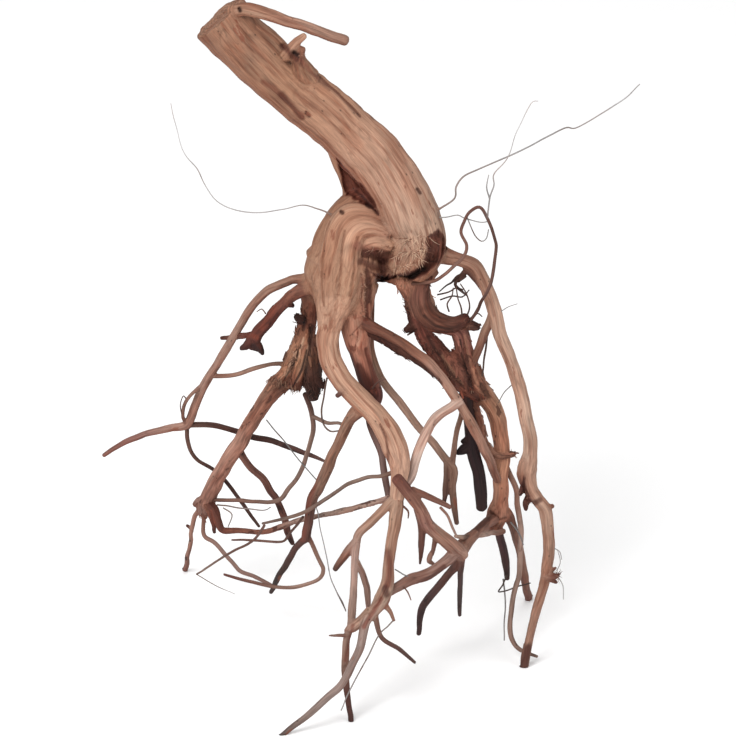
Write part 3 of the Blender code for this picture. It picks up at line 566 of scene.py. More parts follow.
def wood_material(name, fibre, contrast, depth, roughness, vein, stain, bareness, ring=0.0):
    """Wood with long fibres that follow each root.

    fibre is their spacing in mm, contrast how far their tone swings, depth their relief in mm,
    roughness its lowest value, and vein the colour that the darker streaks lean to. stain is the
    colour of the scraps of inner bark left on it, and bareness the share of it that has none.
    ring is how far apart the growth rings are in mm where the wood is sawn across at its start.
    """
    material = bpy.data.materials.new(name)
    material.use_nodes = True
    tree = material.node_tree
    shader = tree.nodes["Principled BSDF"]
    read = {
        label: add_node(tree, "ShaderNodeAttribute", attribute_name=label)
        for label in ("tint", "share", "fibre", "fibre_beside")
    }
    along_fibre = read["fibre"].outputs["Vector"]
    mixed = {}
    for layer, spacing, length, detail in (
        ("fine", fibre * MM, 18, 3.0),
        ("streak", 3.5 * fibre * MM, 16, 2.0),
        ("scraps", 5 * MM, 3.5, 4.0),
    ):
        scale = (1 / spacing, 1 / spacing, 1 / (spacing * length))
        noises = []
        for source in (read["fibre_beside"].outputs["Vector"], along_fibre):
            stretched = add_node(tree, "ShaderNodeMapping", {"Scale": scale}, {"Vector": source})
            looks = {"Scale": 1.0, "Detail": detail, "Roughness": 0.6, "Distortion": 0.15}
            place = {"Vector": stretched.outputs[0]}
            noises.append(add_node(tree, "ShaderNodeTexNoise", looks, place).outputs[0])
        blend = {0: read["share"].outputs["Fac"], 2: noises[0], 3: noises[1]}
        mixed[layer] = add_node(tree, "ShaderNodeMix", links=blend).outputs[0]
    bright = add_node(
        tree, "ShaderNodeMapRange",
        {"From Min": 0.3, "From Max": 0.7, "To Min": 1 - contrast, "To Max": 1 + 0.6 * contrast},
        {"Value": mixed["fine"]},
    )
    grained = add_node(
        tree, "ShaderNodeVectorMath",
        links={0: read["tint"].outputs["Color"], "Scale": bright.outputs[0]}, operation="SCALE",
    )
    streaky = add_node(
        tree, "ShaderNodeMapRange",
        {"From Min": 0.5, "From Max": 0.68, "To Min": 0.0, "To Max": 0.6}, {"Value": mixed["streak"]},
    )
    veined = add_node(
        tree, "ShaderNodeMix",
        {7: (*linear(vein), 1)}, {0: streaky.outputs[0], 6: grained.outputs[0]},
        data_type="RGBA", blend_type="MULTIPLY",
    )
    scrap_edge = add_node(
        tree, "ShaderNodeMapRange",
        {"From Min": bareness, "From Max": bareness + 0.035, "To Min": 0.0, "To Max": 0.8},
        {"Value": mixed["scraps"]},
    )
    stained = add_node(
        tree, "ShaderNodeMix",
        {7: (*linear(stain), 1)}, {0: scrap_edge.outputs[0], 6: veined.outputs[2]}, data_type="RGBA",
    )
    # Pinholes and dark specks, one in about 5 x 9 mm of the surface.
    pit_scale = {"Scale": (1 / (5 * MM), 1 / (5 * MM), 1 / (9 * MM))}
    pit_place = add_node(tree, "ShaderNodeMapping", pit_scale, {"Vector": along_fibre})
    pits = add_node(tree, "ShaderNodeTexVoronoi", {"Scale": 1.0}, {"Vector": pit_place.outputs[0]})
    pit_tone = add_node(
        tree, "ShaderNodeMapRange",
        {"From Min": 0.05, "From Max": 0.1, "To Min": 0.35, "To Max": 1.0},
        {"Value": pits.outputs["Distance"]},
    )
    pitted = add_node(
        tree, "ShaderNodeVectorMath",
        links={0: stained.outputs[2], "Scale": pit_tone.outputs[0]}, operation="SCALE",
    )
    surface = pitted.outputs[0]
    if ring:
        place = add_node(tree, "ShaderNodeSeparateXYZ", links={0: along_fibre})
        flat = add_node(tree, "ShaderNodeCombineXYZ", links={0: place.outputs[0], 1: place.outputs[1]})
        away = add_node(tree, "ShaderNodeVectorMath", links={0: flat.outputs[0]}, operation="LENGTH")
        uneven = add_node(
            tree, "ShaderNodeMath",
            {1: 2.5 * MM}, {0: mixed["streak"], 2: away.outputs["Value"]}, operation="MULTIPLY_ADD",
        )
        turn = add_node(
            tree, "ShaderNodeMath",
            {1: 2 * math.pi / (ring * MM)}, {0: uneven.outputs[0]}, operation="MULTIPLY",
        )
        wave = add_node(tree, "ShaderNodeMath", links={0: turn.outputs[0]}, operation="SINE")
        ring_tone = add_node(
            tree, "ShaderNodeMapRange",
            {"From Min": 0.2, "From Max": 1.0, "To Min": 1.12, "To Max": 0.62}, {"Value": wave.outputs[0]},
        )
        ringed = add_node(
            tree, "ShaderNodeVectorMath",
            links={0: surface, "Scale": ring_tone.outputs[0]}, operation="SCALE",
        )
        sawn = add_node(
            tree, "ShaderNodeMapRange",
            {"From Min": 0.4 * MM, "From Max": 1.0 * MM, "To Min": 1.0, "To Max": 0.0},
            {"Value": place.outputs[2]},
        )
        blend = {0: sawn.outputs[0], 6: surface, 7: ringed.outputs[0]}
        surface = add_node(tree, "ShaderNodeMix", links=blend, data_type="RGBA").outputs[2]
    dryness = add_node(
        tree, "ShaderNodeMapRange",
        {"From Min": 0.3, "From Max": 0.7, "To Min": roughness, "To Max": roughness + 0.2},
        {"Value": mixed["fine"]},
    )
    height = add_node(
        tree, "ShaderNodeMath", links={0: mixed["fine"], 1: mixed["streak"]}, operation="ADD"
    )
    relief_map = add_node(
        tree, "ShaderNodeBump", {"Strength": 0.8, "Distance": depth * MM}, {"Height": height.outputs[0]}
    )
    tree.links.new(surface, shader.inputs["Base Color"])
    tree.links.new(dryness.outputs[0], shader.inputs["Roughness"])
    tree.links.new(relief_map.outputs[0], shader.inputs["Normal"])
    shader.inputs["IOR"].default_value = 1.45
    shader.inputs["Specular IOR Level"].default_value = 0.3
    return material


# Water-worn root wood without its bark: dry and matt, with open fibres that run its length.
bare_wood = wood_material(
    "root_wood_water_worn", fibre=0.7, contrast=0.36, depth=0.35, roughness=0.62,
    vein="#b07a60", stain="#70402f", bareness=0.63,
)

root("right_root", "#8d6350 #b48f7a #c19e89 #bc9b87 #b48f7a #a07864 #9d7867", 3.2, """
    432 250 98 12, 444 256 98 8.4, 460 260 97 7.6, 474 267 95 7.6, 483 280 93 7.6, 487 290 91 7.6,
    492 304 89 7.6, 496 318 87 7.6, 500 335 86 7.6, 509 357 84 7.4, 516 378 82 7.4, 522 397 80 7.2,
    526 418 78 7.2, 530 435 77 7.4, 530 452 76 8, 527 468 76 10.8, 528 480 76 9.6, 531 490 76 8.6,
    538 500 76 7.4, 546 511 77 7.2, 548 532 78 7, 549 547 79 6.8, 548 562 80 6.5, 546 578 81 6.2,
    540 600 82 5.6, 534 621 83 5, 530 638 84 4.6, 527 654 85 4.6, 524 674 86.5 4.6""", (
    ("546 508 77 4, 553 506 76 2.4", "#9d7867 #6d463a"),
    ("547 576 80 5, 554 577 78 4.2, 559 575 77 1.8", "#9d7867 #7c5245 #5c332a"),
    ("549 579 80 4, 557 583 78 2", "#9d7867 #6c4438"),
    ("550 573 79 3, 556 568 77 1.6", "#9d7867 #6c4438"),
    ("528 646 85 4.4, 526 660 86 5, 524 672 87 4", "#8d6354 #5f352b #472722"),
    ("461 261 98 4, 468 268 97 6, 476 278 95 6, 483 290 93 3", "#7d5343 #5d3c32 #5d3c32 #7d5343"),
    ("466 270 97 3, 461 277 96 3.4, 458 282 96 1.6", "#5d3c32 #422b20"),
    ("524 462 74 6, 522 474 73 6.5, 523 484 73 4", "#a98471 #926a57 #6c4237"),
    ("531 494 75 5, 526 503 74 4, 526 510 74 2", "#8a5c4a #6c4237 #4a2219"),
    ("523 488 74 4, 520 495 74 2", "#6c4237 #4a2219"),
))
root("right_bridge_root", "#a98570 #9a7462 #7b5647", 2.4, """
    493 312 88 5.4, 487 327 90 5, 481 343 94 4.8, 475 358 98 4.8, 468 370 101 4.8""")
root("right_leg", "#7b5344 #95705f #8f6a5a #855d55", 2.4, """
    502 510 109 6, 509 517 112 5.5, 515 532 122 5.1, 521 552 136 5, 525 573 152 4.8, 530 600 171 4.6,
    531 608 177 4.4""")
root("crossing_root", "#6a4134 #875d4a #ae8573 #b38c78 #ae8573 #a57e6d", 2.4, """
    360 320 86 6.4, 373 328 82 6, 400 342 79 6, 417 354 78 5.9, 434 368 78 5.8, 446 384 79 5.8,
    457 400 80 5.8, 469 420 83 5.8, 480 441 88 5.7, 492 464 97 5.4, 498 480 103 5""")
root("pale_arc_root", "#c6a696 #d6b9aa #d2b5a6 #c09e90", 2.4, """
    460 401 80 5.5, 452 406 77 5.5, 442 413 75 5.5, 431 424 71 5.5, 424 438 68 5.5, 419 450 65 5.5,
    415 463 61 5.4, 411 477 56 5.2, 402 490 50 4.5""")
root("straight_root", "#7b4f3f #8a614e #a27d68 #a98876 #a98876 #967361 #63463c", 2.0, """
    370 270 104 6.5, 370 295 105 5.6, 370 320 106 5.2, 371 350 106 4.8, 380 377 105 4.4,
    393 394 103 4.4, 401 403 102 4.4, 419 427 99 4.4, 431 440 97 4.4, 445 458 95 4.6, 454 470 93 4.4,
    453 486 92 4, 454 503 91 3.8, 457 524 90 2.6""", (
    ("447 462 94 4.2, 447 478 92 3.8, 446 490 91 3.6, 444 503 90 2.4", "#8d6c5c #54372f"),
    ("463 408 88 3.4, 457 431 91 3.2, 454 452 93 3.2, 452 466 94 3.4", "#a07d6a #8d6c5c"),
))
root("knot_bridge_root", "#8a6353 #8f6656 #8a5f50", 2.4, """
    460 550 59 7.5, 470 539 68 6.4, 480 530 83 6, 488 523 98 6.6, 496 519 108 7""", (
    (
        "504 532 105 3.4, 494 533 95 3.2, 484 535 81 3, 474 536 71 3, 463 537 59 2.8, 455 536 52 2",
        "#8a6353 #a98a7c #b99a88 #b0907f",
    ),
))
RIGHT_ROOTS = (
    "right_root", "right_bridge_root", "right_leg", "crossing_root", "pale_arc_root",
    "straight_root", "knot_bridge_root",
)
right_roots = wood_piece(
    "right_roots", RIGHT_ROOTS, bare_wood, 0.55,
    marks=(
        (
            "524 474, 525 482, 528 492, 531 500, 527 505, 522 497, 521 484, 524 474",
            2.5, 2.5, "#4a2219", 0.85,
        ),
        ("362 327, 378 340, 400 351, 420 364, 440 383", 3.5, 0.5, "#4a281f", 0.85),
        ("484 292, 490 302, 494 316", 1.2, 0.4, "#7b4f3f", 0.5),
        ("468 536, 477 526, 486 519", 5.5, 0.6, "#4a281f", 0.8),
        ("526 508, 522 500, 523 490", 2.6, 1.0, "#4a2219", 0.85),
        ("521 488, 526 500, 533 504, 540 500", 2.8, 1.0, "#4a2219", 0.75),
        ("529 650, 526 660, 524 672", 6.0, 0.5, "#4a241c", 0.85),
        ("538 492, 546 502, 553 508", 2.0, 0.3, "#8a5c48", 0.5),
    ),
)
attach(right_roots, "root")
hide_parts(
    "right_root", "right_root_tip", "right_bridge_root", "right_leg", "crossing_root",
    "pale_arc_root", "straight_root", "knot_bridge_root",
)


# Right bark root: comes out under the trunk's torn base, turns down at a knee and ends in a knot.
# Most of its dark bark still clings to it, cracked and flaking.
#
# Flaking bark: dry corky plates, rough and matt, with dark scraps between paler worn ridges.
bark = wood_material(
    "root_bark_flaking", fibre=0.9, contrast=0.45, depth=0.55, roughness=0.75,
    vein="#9a6854", stain="#3d2119", bareness=0.6,
)

root(
    "right_bark_root",
    "#b27b63 #c1947d #a56f63 #8b5849 #9e6c58 #ba8d72 #c6896d #d1997b #c89077 #9e6e5b", 4.2, """
    412 280 96 19, 420 302 97 15, 430 318 98 12, 445 325 97 10, 458 331 97 10, 463 349 99 10.5,
    467 366 101 12, 474 382 102 14, 484 394 103 11, 494 410 104 9.2, 500 430 105 8.8, 502 450 106 8.8,
    501 478 107 8.8, 501 501 108 9, 498 514 109 12.5, 495 526 109 9""", (
    (
        "411 292 95 9, 415 314 96 9, 424 335 97 9, 436 351 98 11, 448 366 98 12, 460 380 99 12, "
        "472 389 101 9",
        "#9c604f #865246 #865246 #7d4d3f #8a5646 #9d624f",
    ),
    ("422 318 97 8, 413 326 95 6, 406 330 94 3", "#774e42 #55362d"),
    ("460 322 97 8, 470 325 95 6, 478 327 95 4", "#8b5d4b #55362d"),
    (
        "474 400 99 4, 480 420 99 3.2, 485 438 99 3.2, 492 452 100 3.4, 502 456 101 3.6, 515 455 104 2.6",
        "#8b5b49 #a2725f #b2846e #75493b",
    ),
    ("450 358 95 9, 458 374 94 11, 466 388 96 8, 477 398 97 3", "#8a5342 #7b4d3f #9d624f #6f3d31"),
), rough=(0.5, 0.7, 0.7, 0.7, 0.6, 0.3, 0.05, 0, 0, 0.3), swell=1.0)
root("bare_band", "#5d3326 #72483b #774f40 #774f40 #6c4437 #532a20", 3.4, """
    424 276 92 10, 420 290 90 11, 421 303 89 12, 428 315 89 12, 441 322 90 11, 454 323 92 9,
    466 318 94 6""")
root("crossing_bark", "#654032 #512e24 #5a3528 #512e24 #754c3b", 2.0, """
    361 325 90 6, 380 336 85 7.5, 400 347 82 7.5, 420 360 81 6.5, 436 373 81 5, 446 384 82 2""", rough=0.6)
right_bark_piece = wood_piece(
    "right_bark_wood", ("right_bark_root", "bare_band", "crossing_bark"), bark, 0.55,
    starts=("right_leg",),
    marks=(
        ("399 294, 407 312, 412 332", 4, 0.8, "#4a2a20", 0.8),
        ("428 338, 440 356, 452 374, 462 386", 3, 0.8, "#3f251c", 0.7),
        ("472 530, 482 524, 488 518", 5, 1.0, "#4a281f", 0.7),
        ("465 336, 467 352, 473 372, 479 390", 1.6, 0.0, "#b8876c", 0.45),
        ("472 350, 477 368, 483 386", 1.2, 0.0, "#b8876c", 0.4),
        ("442 356, 452 370, 462 384", 1.4, 0.0, "#a87a60", 0.5),
        ("460 340, 462 356, 468 374", 1.5, 0.8, "#331d16", 0.8),
        ("470 378, 470 391, 478 400", 3.0, 1.0, "#40221a", 0.7),
        ("482 386, 488 396", 3.6, 0.8, "#2b1712", 0.65),
        ("491 512, 500 520, 506 518", 1.6, 0.8, "#4a281f", 0.7),
        ("424 316, 436 326, 452 330", 1.6, 0.8, "#331d16", 0.75),
    ),
)
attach(right_bark_piece, "root")
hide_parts("right_bark_root")


# Left bark root: slants back from the crown to a knot, with a torn flare of bark and a dark stub.
root("bark_root", "#8b5b47 #885643 #77493a #8b604c #b3846f #b98a77 #be917f #b38675 #895e4e", 3.6, """
    312 284 98 10, 309 318 101 9.2, 305 335 104 11, 300 352 108 12.5, 289 374 114 12, 270 394 123 9.5,
    257 414 131 9, 246 431 138 8.8, 237 447 144 8.6, 227 462 150 8.6, 216 481 157 8.6, 208 496 162 8.6,
    204 506 165 9.5, 200 514 167 6""", (
    (
        "307 330 102 8, 299 350 105 9, 290 366 109 8.5, 281 378 112 6",
        "#a16f55 #d19877 #d7a07d #bb8567 #8f5d49",
    ),
    (
        "308 332 102 8, 304 355 104 9, 299 374 106 8.5, 295 387 108 6",
        "#9f6d55 #b88367 #be9071 #9f6a52 #704536",
    ),
    (
        "310 338 103 8, 311 362 104 10, 313 383 105 9.5, 314 398 106 5",
        "#724b3c #6f4835 #5b3a2e #42281e #38201a",
    ),
    ("312 374 104 7, 319 382 103 5, 324 387 102 2", "#5b3a2e #38201a"),
    ("306 322 100 5, 300 319 95 5, 296 317 93 3", "#77493a #38201a"),
    ("206 499 163 5, 199 502 165 4.6, 194 506 167 3", "#a9867b #9f7c71 #895e4e"),
    ("204 506 163 5, 201 513 163 5, 204 519 162 3", "#9f7c71 #a9867b #895e4e"),
), rough=(0.3, 0.6, 0.6, 0.5, 0.1, 0, 0, 0, 0))
bark_piece = wood_piece(
    "left_bark_wood", ("bark_root",), bark, 0.5,
    marks=(
        ("304 338, 298 356, 286 376", 1.4, 0.0, "#e0b496", 0.75),
        ("309 344, 304 362, 297 382", 1.2, 0.0, "#d0a488", 0.65),
        ("296 352, 288 368, 279 380", 1.2, 0.0, "#d8ac90", 0.6),
        ("301 345, 295 362, 284 380", 1.1, 0.8, "#2b1712", 0.85),
        ("307 350, 302 370, 293 387", 1.1, 0.8, "#2b1712", 0.85),
        ("311 326, 310 350, 306 372, 303 388", 2.2, 1.0, "#2b1712", 0.85),
        ("306 296, 306 316, 303 330", 1.6, 0.8, "#331d16", 0.7),
    ),
)
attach(bark_piece, "root")
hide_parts("bark_root")


# Left roots: an arched bare root that forks at its lowest bend, and two thin bare ones.
root("left_root", "#946b58 #a07a68 #a27e6e #a58171 #a27d6e #af8a7a #a68172 #93685e #8a5c51", 2.2, """
    318 280 95 7, 296 279 98 5, 286 282 99 5, 272 288 102 5, 262 296 104 5, 250 310 107 5,
    235 334 112 5, 219 361 119 5, 208 377 123 5, 200 392 127 5, 194 407 131 5, 187 424 136 5.2,
    170 428 139 4.2, 154 432 142 3.8, 128 440 147 3.3, 102 456 152 2.4""", (
    (
        "203 384 125 2.4, 191 394 124 2, 183 406 128 2, 182 417 132 2, 188 428 137 2.4",
        "#947264 #7f5c4f",
    ),
))
root("left_bridge_root", "#8f6c5e #9c7a6a #8a6554", 1.8, """
    211 376 122 2.8, 231 375 119 2.5, 251 370 117 2.5, 270 364 116 2.5, 288 364 114 3""")
root("sling_root", "#8a6554 #96756a #8f6f64 #7b5a50", 1.8, """
    203 508 165 2.8, 202 528 163 2.6, 204 538 160 2.6, 214 545 157 2.5, 231 563 150 2.4,
    240 573 146 2.4, 255 579 141 2.3, 273 588 130 1.8""")
left_roots = wood_piece("left_roots", ("left_root", "left_bridge_root", "sling_root"), bare_wood, 0.45)
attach(left_roots, "root")
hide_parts("left_root", "left_bridge_root", "sling_root")


# Middle root: reddish bare wood behind the front root, darker where it thins.
#
# Reddish wood, bared lately: smoother and more even than the worn wood, and as matt.
pink_wood = wood_material(
    "root_wood_reddish", fibre=0.8, contrast=0.32, depth=0.3, roughness=0.62,
    vein="#b87a64", stain="#5a2c20", bareness=0.6,
)

root("middle_root", "#ad7c67 #ba846c #b67e68 #a6715e #643730 #65453c #7a5f58 #7a5f58 #654c45", 3.0, """
    352 288 94 22, 354 308 92 20, 356 330 90 17.5, 360 350 88 12, 364 368 86 10.5, 370 385 86 11,
    375 397 84 8, 371 412 82 5, 369 422 81 4, 376 440 78 3.9, 382 458 75 3.9, 385 475 71 3.9,
    388 492 67 3.9, 388 502 64 3""")
middle_piece = wood_piece(
    "middle_wood", ("middle_root",), pink_wood, 0.55, starts=("crossing_root",),
    marks=(
        ("343 354, 351 367, 362 380, 374 396", 7, 1.2, "#3b160e", 0.95),
        ("360 366, 366 378, 374 392", 4, 0.8, "#4f2419", 0.85),
        ("366 350, 371 366, 376 384", 2.5, 0.8, "#5d2d22", 0.7),
        ("356 320, 360 332, 358 344", 2.5, 0.3, "#c49a82", 0.5),
        # The straight root seen behind this one: its own reddish tone, darkened with painted shade.
        ("363 286, 365 300, 366 318", 3.5, 1.0, "#5d3228", 0.8),
        ("350 336, 356 330, 362 324", 0.9, 0.4, "#5d3228", 0.6),
    ),
)
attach(middle_piece, "root")
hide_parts("middle_root")


# Rusty roots: a short root broken off under the arch, and a hooked one that starts as a torn flap.
#
# Torn wood, stained rust brown by its own tannin: open, rough fibres with dark scraps of skin.
rusty_wood = wood_material(
    "root_wood_torn_rusty", fibre=0.9, contrast=0.38, depth=0.5, roughness=0.7,
    vein="#8a4a34", stain="#3d1c14", bareness=0.55,
)

root("rust_stub_root", "#8a5c4a #80503f #754134 #6a3a2f #5a2f27", 3.0, """
    316 284 92 8, 295 294 91 6.6, 286 302 90 6.6, 277 311 90 6.6, 268 322 91 6.6, 257 334 93 7,
    253 346 95 7""", (
    ("257 334 94 4, 246 335 100 3.2, 234 337 119 3, 221 338 122 2", "#754134 #6a4438"),
    ("254 338 94 6, 247 345 94 4.6, 241 349 94 2", "#6a3a2f #40241f"),
    ("254 340 94 6.5, 260 349 94 5, 263 354 94 2", "#5a2f27 #351d19"),
    ("285 303 90 5, 293 306 92 2", "#6a3a2f #40241f"),
), rough=0.5)
root("hook_root", "#6e4438 #7c4a3a #936453 #ab8e82 #b5998a #b5998a #ae8c7f", 1.8, """
    208 505 161 5, 214 512 156 5, 217 524 152 4.6, 222 532 149 3.6, 239 532 143 3.1, 255 533 135 3,
    268 532 128 3, 280 528 121 3, 296 522 112 3, 312 518 105 3, 331 514 92 3, 350 509 78 3,
    365 505 66 3, 388 498 52 3.4""", (
    ("205 503 162 4, 209 512 158 4.2, 212 523 155 3.4, 213 534 153 1.6", "#8f6350 #74473a #4c2b24"),
    ("210 508 158 4, 216 518 153 3.6, 221 530 149 2.4", "#74473a #5a342a"),
), rough=0.4)
rusty_roots = wood_piece(
    "rusty_roots", ("rust_stub_root", "hook_root"), rusty_wood, 0.45,
    marks=(
        ("274 307, 267 318, 262 328", 2.6, 0.3, "#82402e", 0.6),
        ("244 337, 252 335, 258 338", 2.6, 0.3, "#82402e", 0.55),
        ("278 314, 270 324", 1.4, 0.4, "#4a1f17", 0.7),
        ("254 346, 258 353", 4.0, 0.5, "#2b1512", 0.8),
        ("210 512, 213 524", 2.4, 0.3, "#82402e", 0.5),
    ),
)
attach(rusty_roots, "root")
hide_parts("rust_stub_root", "hook_root")


# Dark roots: dead side roots with their thin skin dried on, almost black. Their near-black tones are partly
# that skin and partly painted shade, most on the stub and the leg tips that lie at the back.
#
# Dried root skin: dull and wrinkled along its length, with blacker patches where it rotted.
dark_skin_and_painted_shade = wood_material(
    "root_skin_dark_and_painted_shade", fibre=0.8, contrast=0.35, depth=0.35, roughness=0.68,
    vein="#6a4840", stain="#241614", bareness=0.56,
)

root("left_cross_root", "#7b5a4e #604037 #5b3a32 #533630 #5a3d36 #533630 #6a4c43", 1.8, """
    188 425 136 3.6, 210 425 141 3.4, 225 428 146 3.3, 237 432 150 3.3, 253 437 151 3.3,
    271 441 150 3.3, 289 447 147 3.2, 308 455 143 2.8, 327 463 139 1.4""")
root("left_drop_root", "#7b5a4e #705147 #6a4c43 #5e443d #5a413a", 1.8, """
    186 428 137 2.8, 188 445 142 2.5, 193 457 148 2.5, 203 465 156 2.5, 214 472 163 2.5,
    226 484 166 2.5, 242 506 167 2.4, 258 528 169 1.8""")
root("bark_side_root", "#855a4d #704a3f #684137 #684137 #51322c", 1.8, """
    238 450 146 5, 243 459 145 4, 250 468 144 4, 261 478 143 4, 269 491 142 4, 276 500 141 4,
    284 520 140 4, 287 533 140 4, 292 545 140 2.5""")
root("bark_root_foot", "#a27666 #b59080 #a88375 #7c4f45", 1.8, """
    203 504 166 3, 196 512 169 2.8, 192 522 175 2.8, 189 537 185 2.7, 186 555 197 2.7, 183 572 208 3.2,
    182 578 212 3.2""", (
    ("189 530 181 2.4, 185 527 180 1.8", "#8c6459 #634038"),
))
# The stub's near-black tones are partly its own skin and partly painted shade.
root("charred_stub", "#4a2c26 #3a2320 #321f21 #321f21 #2c1c1d #35211f", 2.4, """
    466 394 98 8, 469 415 99 7.2, 471 429 99 7.1, 472 447 98 7.1, 478 469 97 7.1, 480 486 95 7,
    482 508 94 6.6""", (
    ("471 444 98 6, 463 450 97 6, 457 453 96 2.6", "#321f21 #241518"),
    ("469 438 98 4, 462 442 97 2.4", "#4a2c26 #321f21"),
))
root("right_drop_root", "#5e3f36 #53393c #4e3533 #4a302e", 2.0, """
    498 520 109 6, 500 536 112 4.8, 503 547 115 4.8, 506 562 119 4.6, 508 580 123 2.8""")
# The two leg tips at the back: their dark tones are partly painted shade.
root("joint_leg_left", "#7b564b #6a4a42 #533a39 #4b3436 #4e3637", 2.0, """
    458 555 58 5, 455 567 61 4.6, 442 583 67 4.4, 429 599 72 4.4, 422 612 78 4.2, 419 635 86 2.8""")
root("joint_leg_right", "#6e4c42 #574443 #4e413f #4b3a39", 1.8, """
    461 556 58 4.4, 461 570 63 3.4, 460 592 70 3.3, 460 616 78 2.2""")
DARK_ROOTS = (
    "left_cross_root", "left_drop_root", "bark_side_root", "bark_root_foot", "charred_stub",
    "right_drop_root", "joint_leg_left", "joint_leg_right",
)
dark_roots = wood_piece("dark_roots", DARK_ROOTS, dark_skin_and_painted_shade, 0.45)
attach(dark_roots, "root")
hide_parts(*DARK_ROOTS)


# Front roots: the two legs of the front root, the root that leaves it to the left, and the short
# root laid over it with its joint.
root("front_root_tip", "#b18c76 #b18c76 #a98774 #a88b79 #977e74 #9b8b85 #9d8d87 #8f7b72 #4b3a36", 2.2, """
    397 494 48.5 7.8, 395 523 43 7.5, 392 540 39 6.8, 389 563 34 6.3, 388 580 30 7.2, 382 598 25 9.2,
    375 609 22.5 7, 366 621 20 5.5, 360 647 15 4.8, 353 663 12 4.5, 341 685 8.5 4.4, 327 697 6 4.2,
    310 713 3.5 3.8, 293 726 1.5 3.4, 281 736 0 3""", (
    ("384 603 24 4, 390 612 22 2.6, 394 620 21 1.8", "#b28e79 #845c4e"),
    ("374 610 22 4, 381 636 18 2.8, 400 649 14 2.6, 415 662 10 1.8", "#8d6c5e #5b3c34 #4a312c"),
))
root("front_side_root", "#ae8c77 #b08e7b #ae9085 #a5877a #997b6d #8a6a5c #5b362e #4e312d", 2.0, """
    392 500 47 5.5, 372 521 42 5, 359 533 39 4.6, 356 546 37 4.4, 354 569 33 4.2, 352 615 28 4.4,
    350 629 26 4.2, 347 640 25 4, 345 669 22 4, 347 685 20 3.8, 349 703 18.5 3.4, 351 724 17 3""", (
    ("357 540 38 5, 347 553 38 5, 340 562 39 4, 335 569 40 3", "#a98a7d #8d6150 #4c322b"),
    ("346 631 26 3, 352 627 25 6, 360 621 23 6, 370 611 22 6", "#a98a7d #b4917e #ad8c78"),
    ("357 562 34 3.8, 365 580 36 3.8, 368 592 37 3.8, 369 615 38 2.4", "#a5877a #8f6f63"),
    ("350 635 25 2.6, 338 635 23 2, 329 635 21 1", "#8f6f63 #7b5d52"),
))
root("middle_left_root", "#9a7562 #a07a66 #96715e #8e6c5b #7a574b #66453d #573933 #3f322e #473633", 2.2, """
    366 402 69 8, 351 419 72 6.6, 344 433 74 6.3, 335 452 78 6.3, 319 486 86 6.2, 312 500 90 6,
    308 526 97 5.8, 306 538 100 5.2, 300 544 104 4, 292 555 110 3.8, 282 571 118 3.6, 276 583 126 3.4,
    270 594 132 2.4""")
root("looped_rootlet", "#855f52 #957567 #9d7e70 #907062 #815b4f #6f4237", 1.8, """
    307 535 99 3, 318 559 102 2.5, 323 571 104 2.5, 317 581 107 2.4, 296 588 112 2.4, 273 588 118 2.3,
    250 583 124 2.2, 237 580 128 2.1, 223 576 132 1.6""")
root("overlay_root", "#7b4e43 #8f6758 #9c7262 #a17669 #9f7a69 #a58070 #a98473", 2.4, """
    397 478 41 6.2, 408 492 42 7, 420 508 45 7, 429 526 48 7.4, 446 540 52 8, 457 550 55 9,
    464 556 57 6""", (
    ("418 508 47 5, 421 525 48 4.4, 421 545 50 3.8, 420 564 52 1.2", "#7f5547 #5c3b34"),
    ("436 532 51 4, 432 555 53 2", "#8e6759 #735348"),
    ("412 490 44 4.6, 433 499 46 3.6, 450 507 48 2.4", "#875f50 #7b5346"),
))
root("joint_left_root", "#917065 #967468 #917065 #8d6b5f", 2.2, """
    456 552 55 7.4, 442 564 50 6.4, 429 573 46 6.3, 412 579 40 6, 400 586 35 5.6, 387 593 28 5""")
FRONT_ROOTS = (
    "front_root_tip", "front_side_root", "middle_left_root", "looped_rootlet", "overlay_root",
    "joint_left_root",
)
front_roots = wood_piece(
    "front_roots", FRONT_ROOTS, bare_wood, 0.5,
    starts=("joint_leg_left", "joint_leg_right", "knot_bridge_root"),
    marks=(
        ("387 552, 390 566, 388 584", 5, 0.5, "#6a3526", 0.75),
        ("385 588, 387 594", 4, 0.8, "#4a2219", 0.8),
        ("381 598, 374 610, 364 626", 2.6, 0.7, "#7b3f30", 0.75),
        ("392 596, 386 606, 380 616", 2.0, 0.5, "#8a4a38", 0.6),
        ("353 625, 350 640, 345 660", 2.4, 0.5, "#7b3f30", 0.6),
        # A reddish-brown strip along the middle left root where it meets the front roots: painted shade at
        # the junction.
        ("314 486, 308 504, 304 524, 302 540", 3.0, 0.5, "#7b3f30", 0.7),
        ("322 462, 314 490", 1.6, 0.4, "#7b4a3a", 0.6),
        ("444 566, 432 577, 418 584", 2.6, 0.5, "#5b332a", 0.75),
        ("398 474, 402 480, 409 489", 4.0, 0.3, "#63392f", 0.7),
        ("455 552, 461 560", 3.0, 0.5, "#8a6a60", 0.5),
        ("365 410, 352 424, 346 436", 2.0, 0.4, "#6a3f33", 0.5),
    ),
)
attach(front_roots, "root")
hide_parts(*FRONT_ROOTS)


# Thin rootlets: grey-brown, fibrous roots of 1 to 4 mm, too thin for the wood to be worn smooth.
#
# Fibrous rootlet skin: dull, with fine threads along it that barely stand out.
rootlet_skin = wood_material(
    "rootlet_skin_fibrous", fibre=0.7, contrast=0.3, depth=0.2, roughness=0.7,
    vein="#8f7060", stain="#4e342c", bareness=0.6,
)

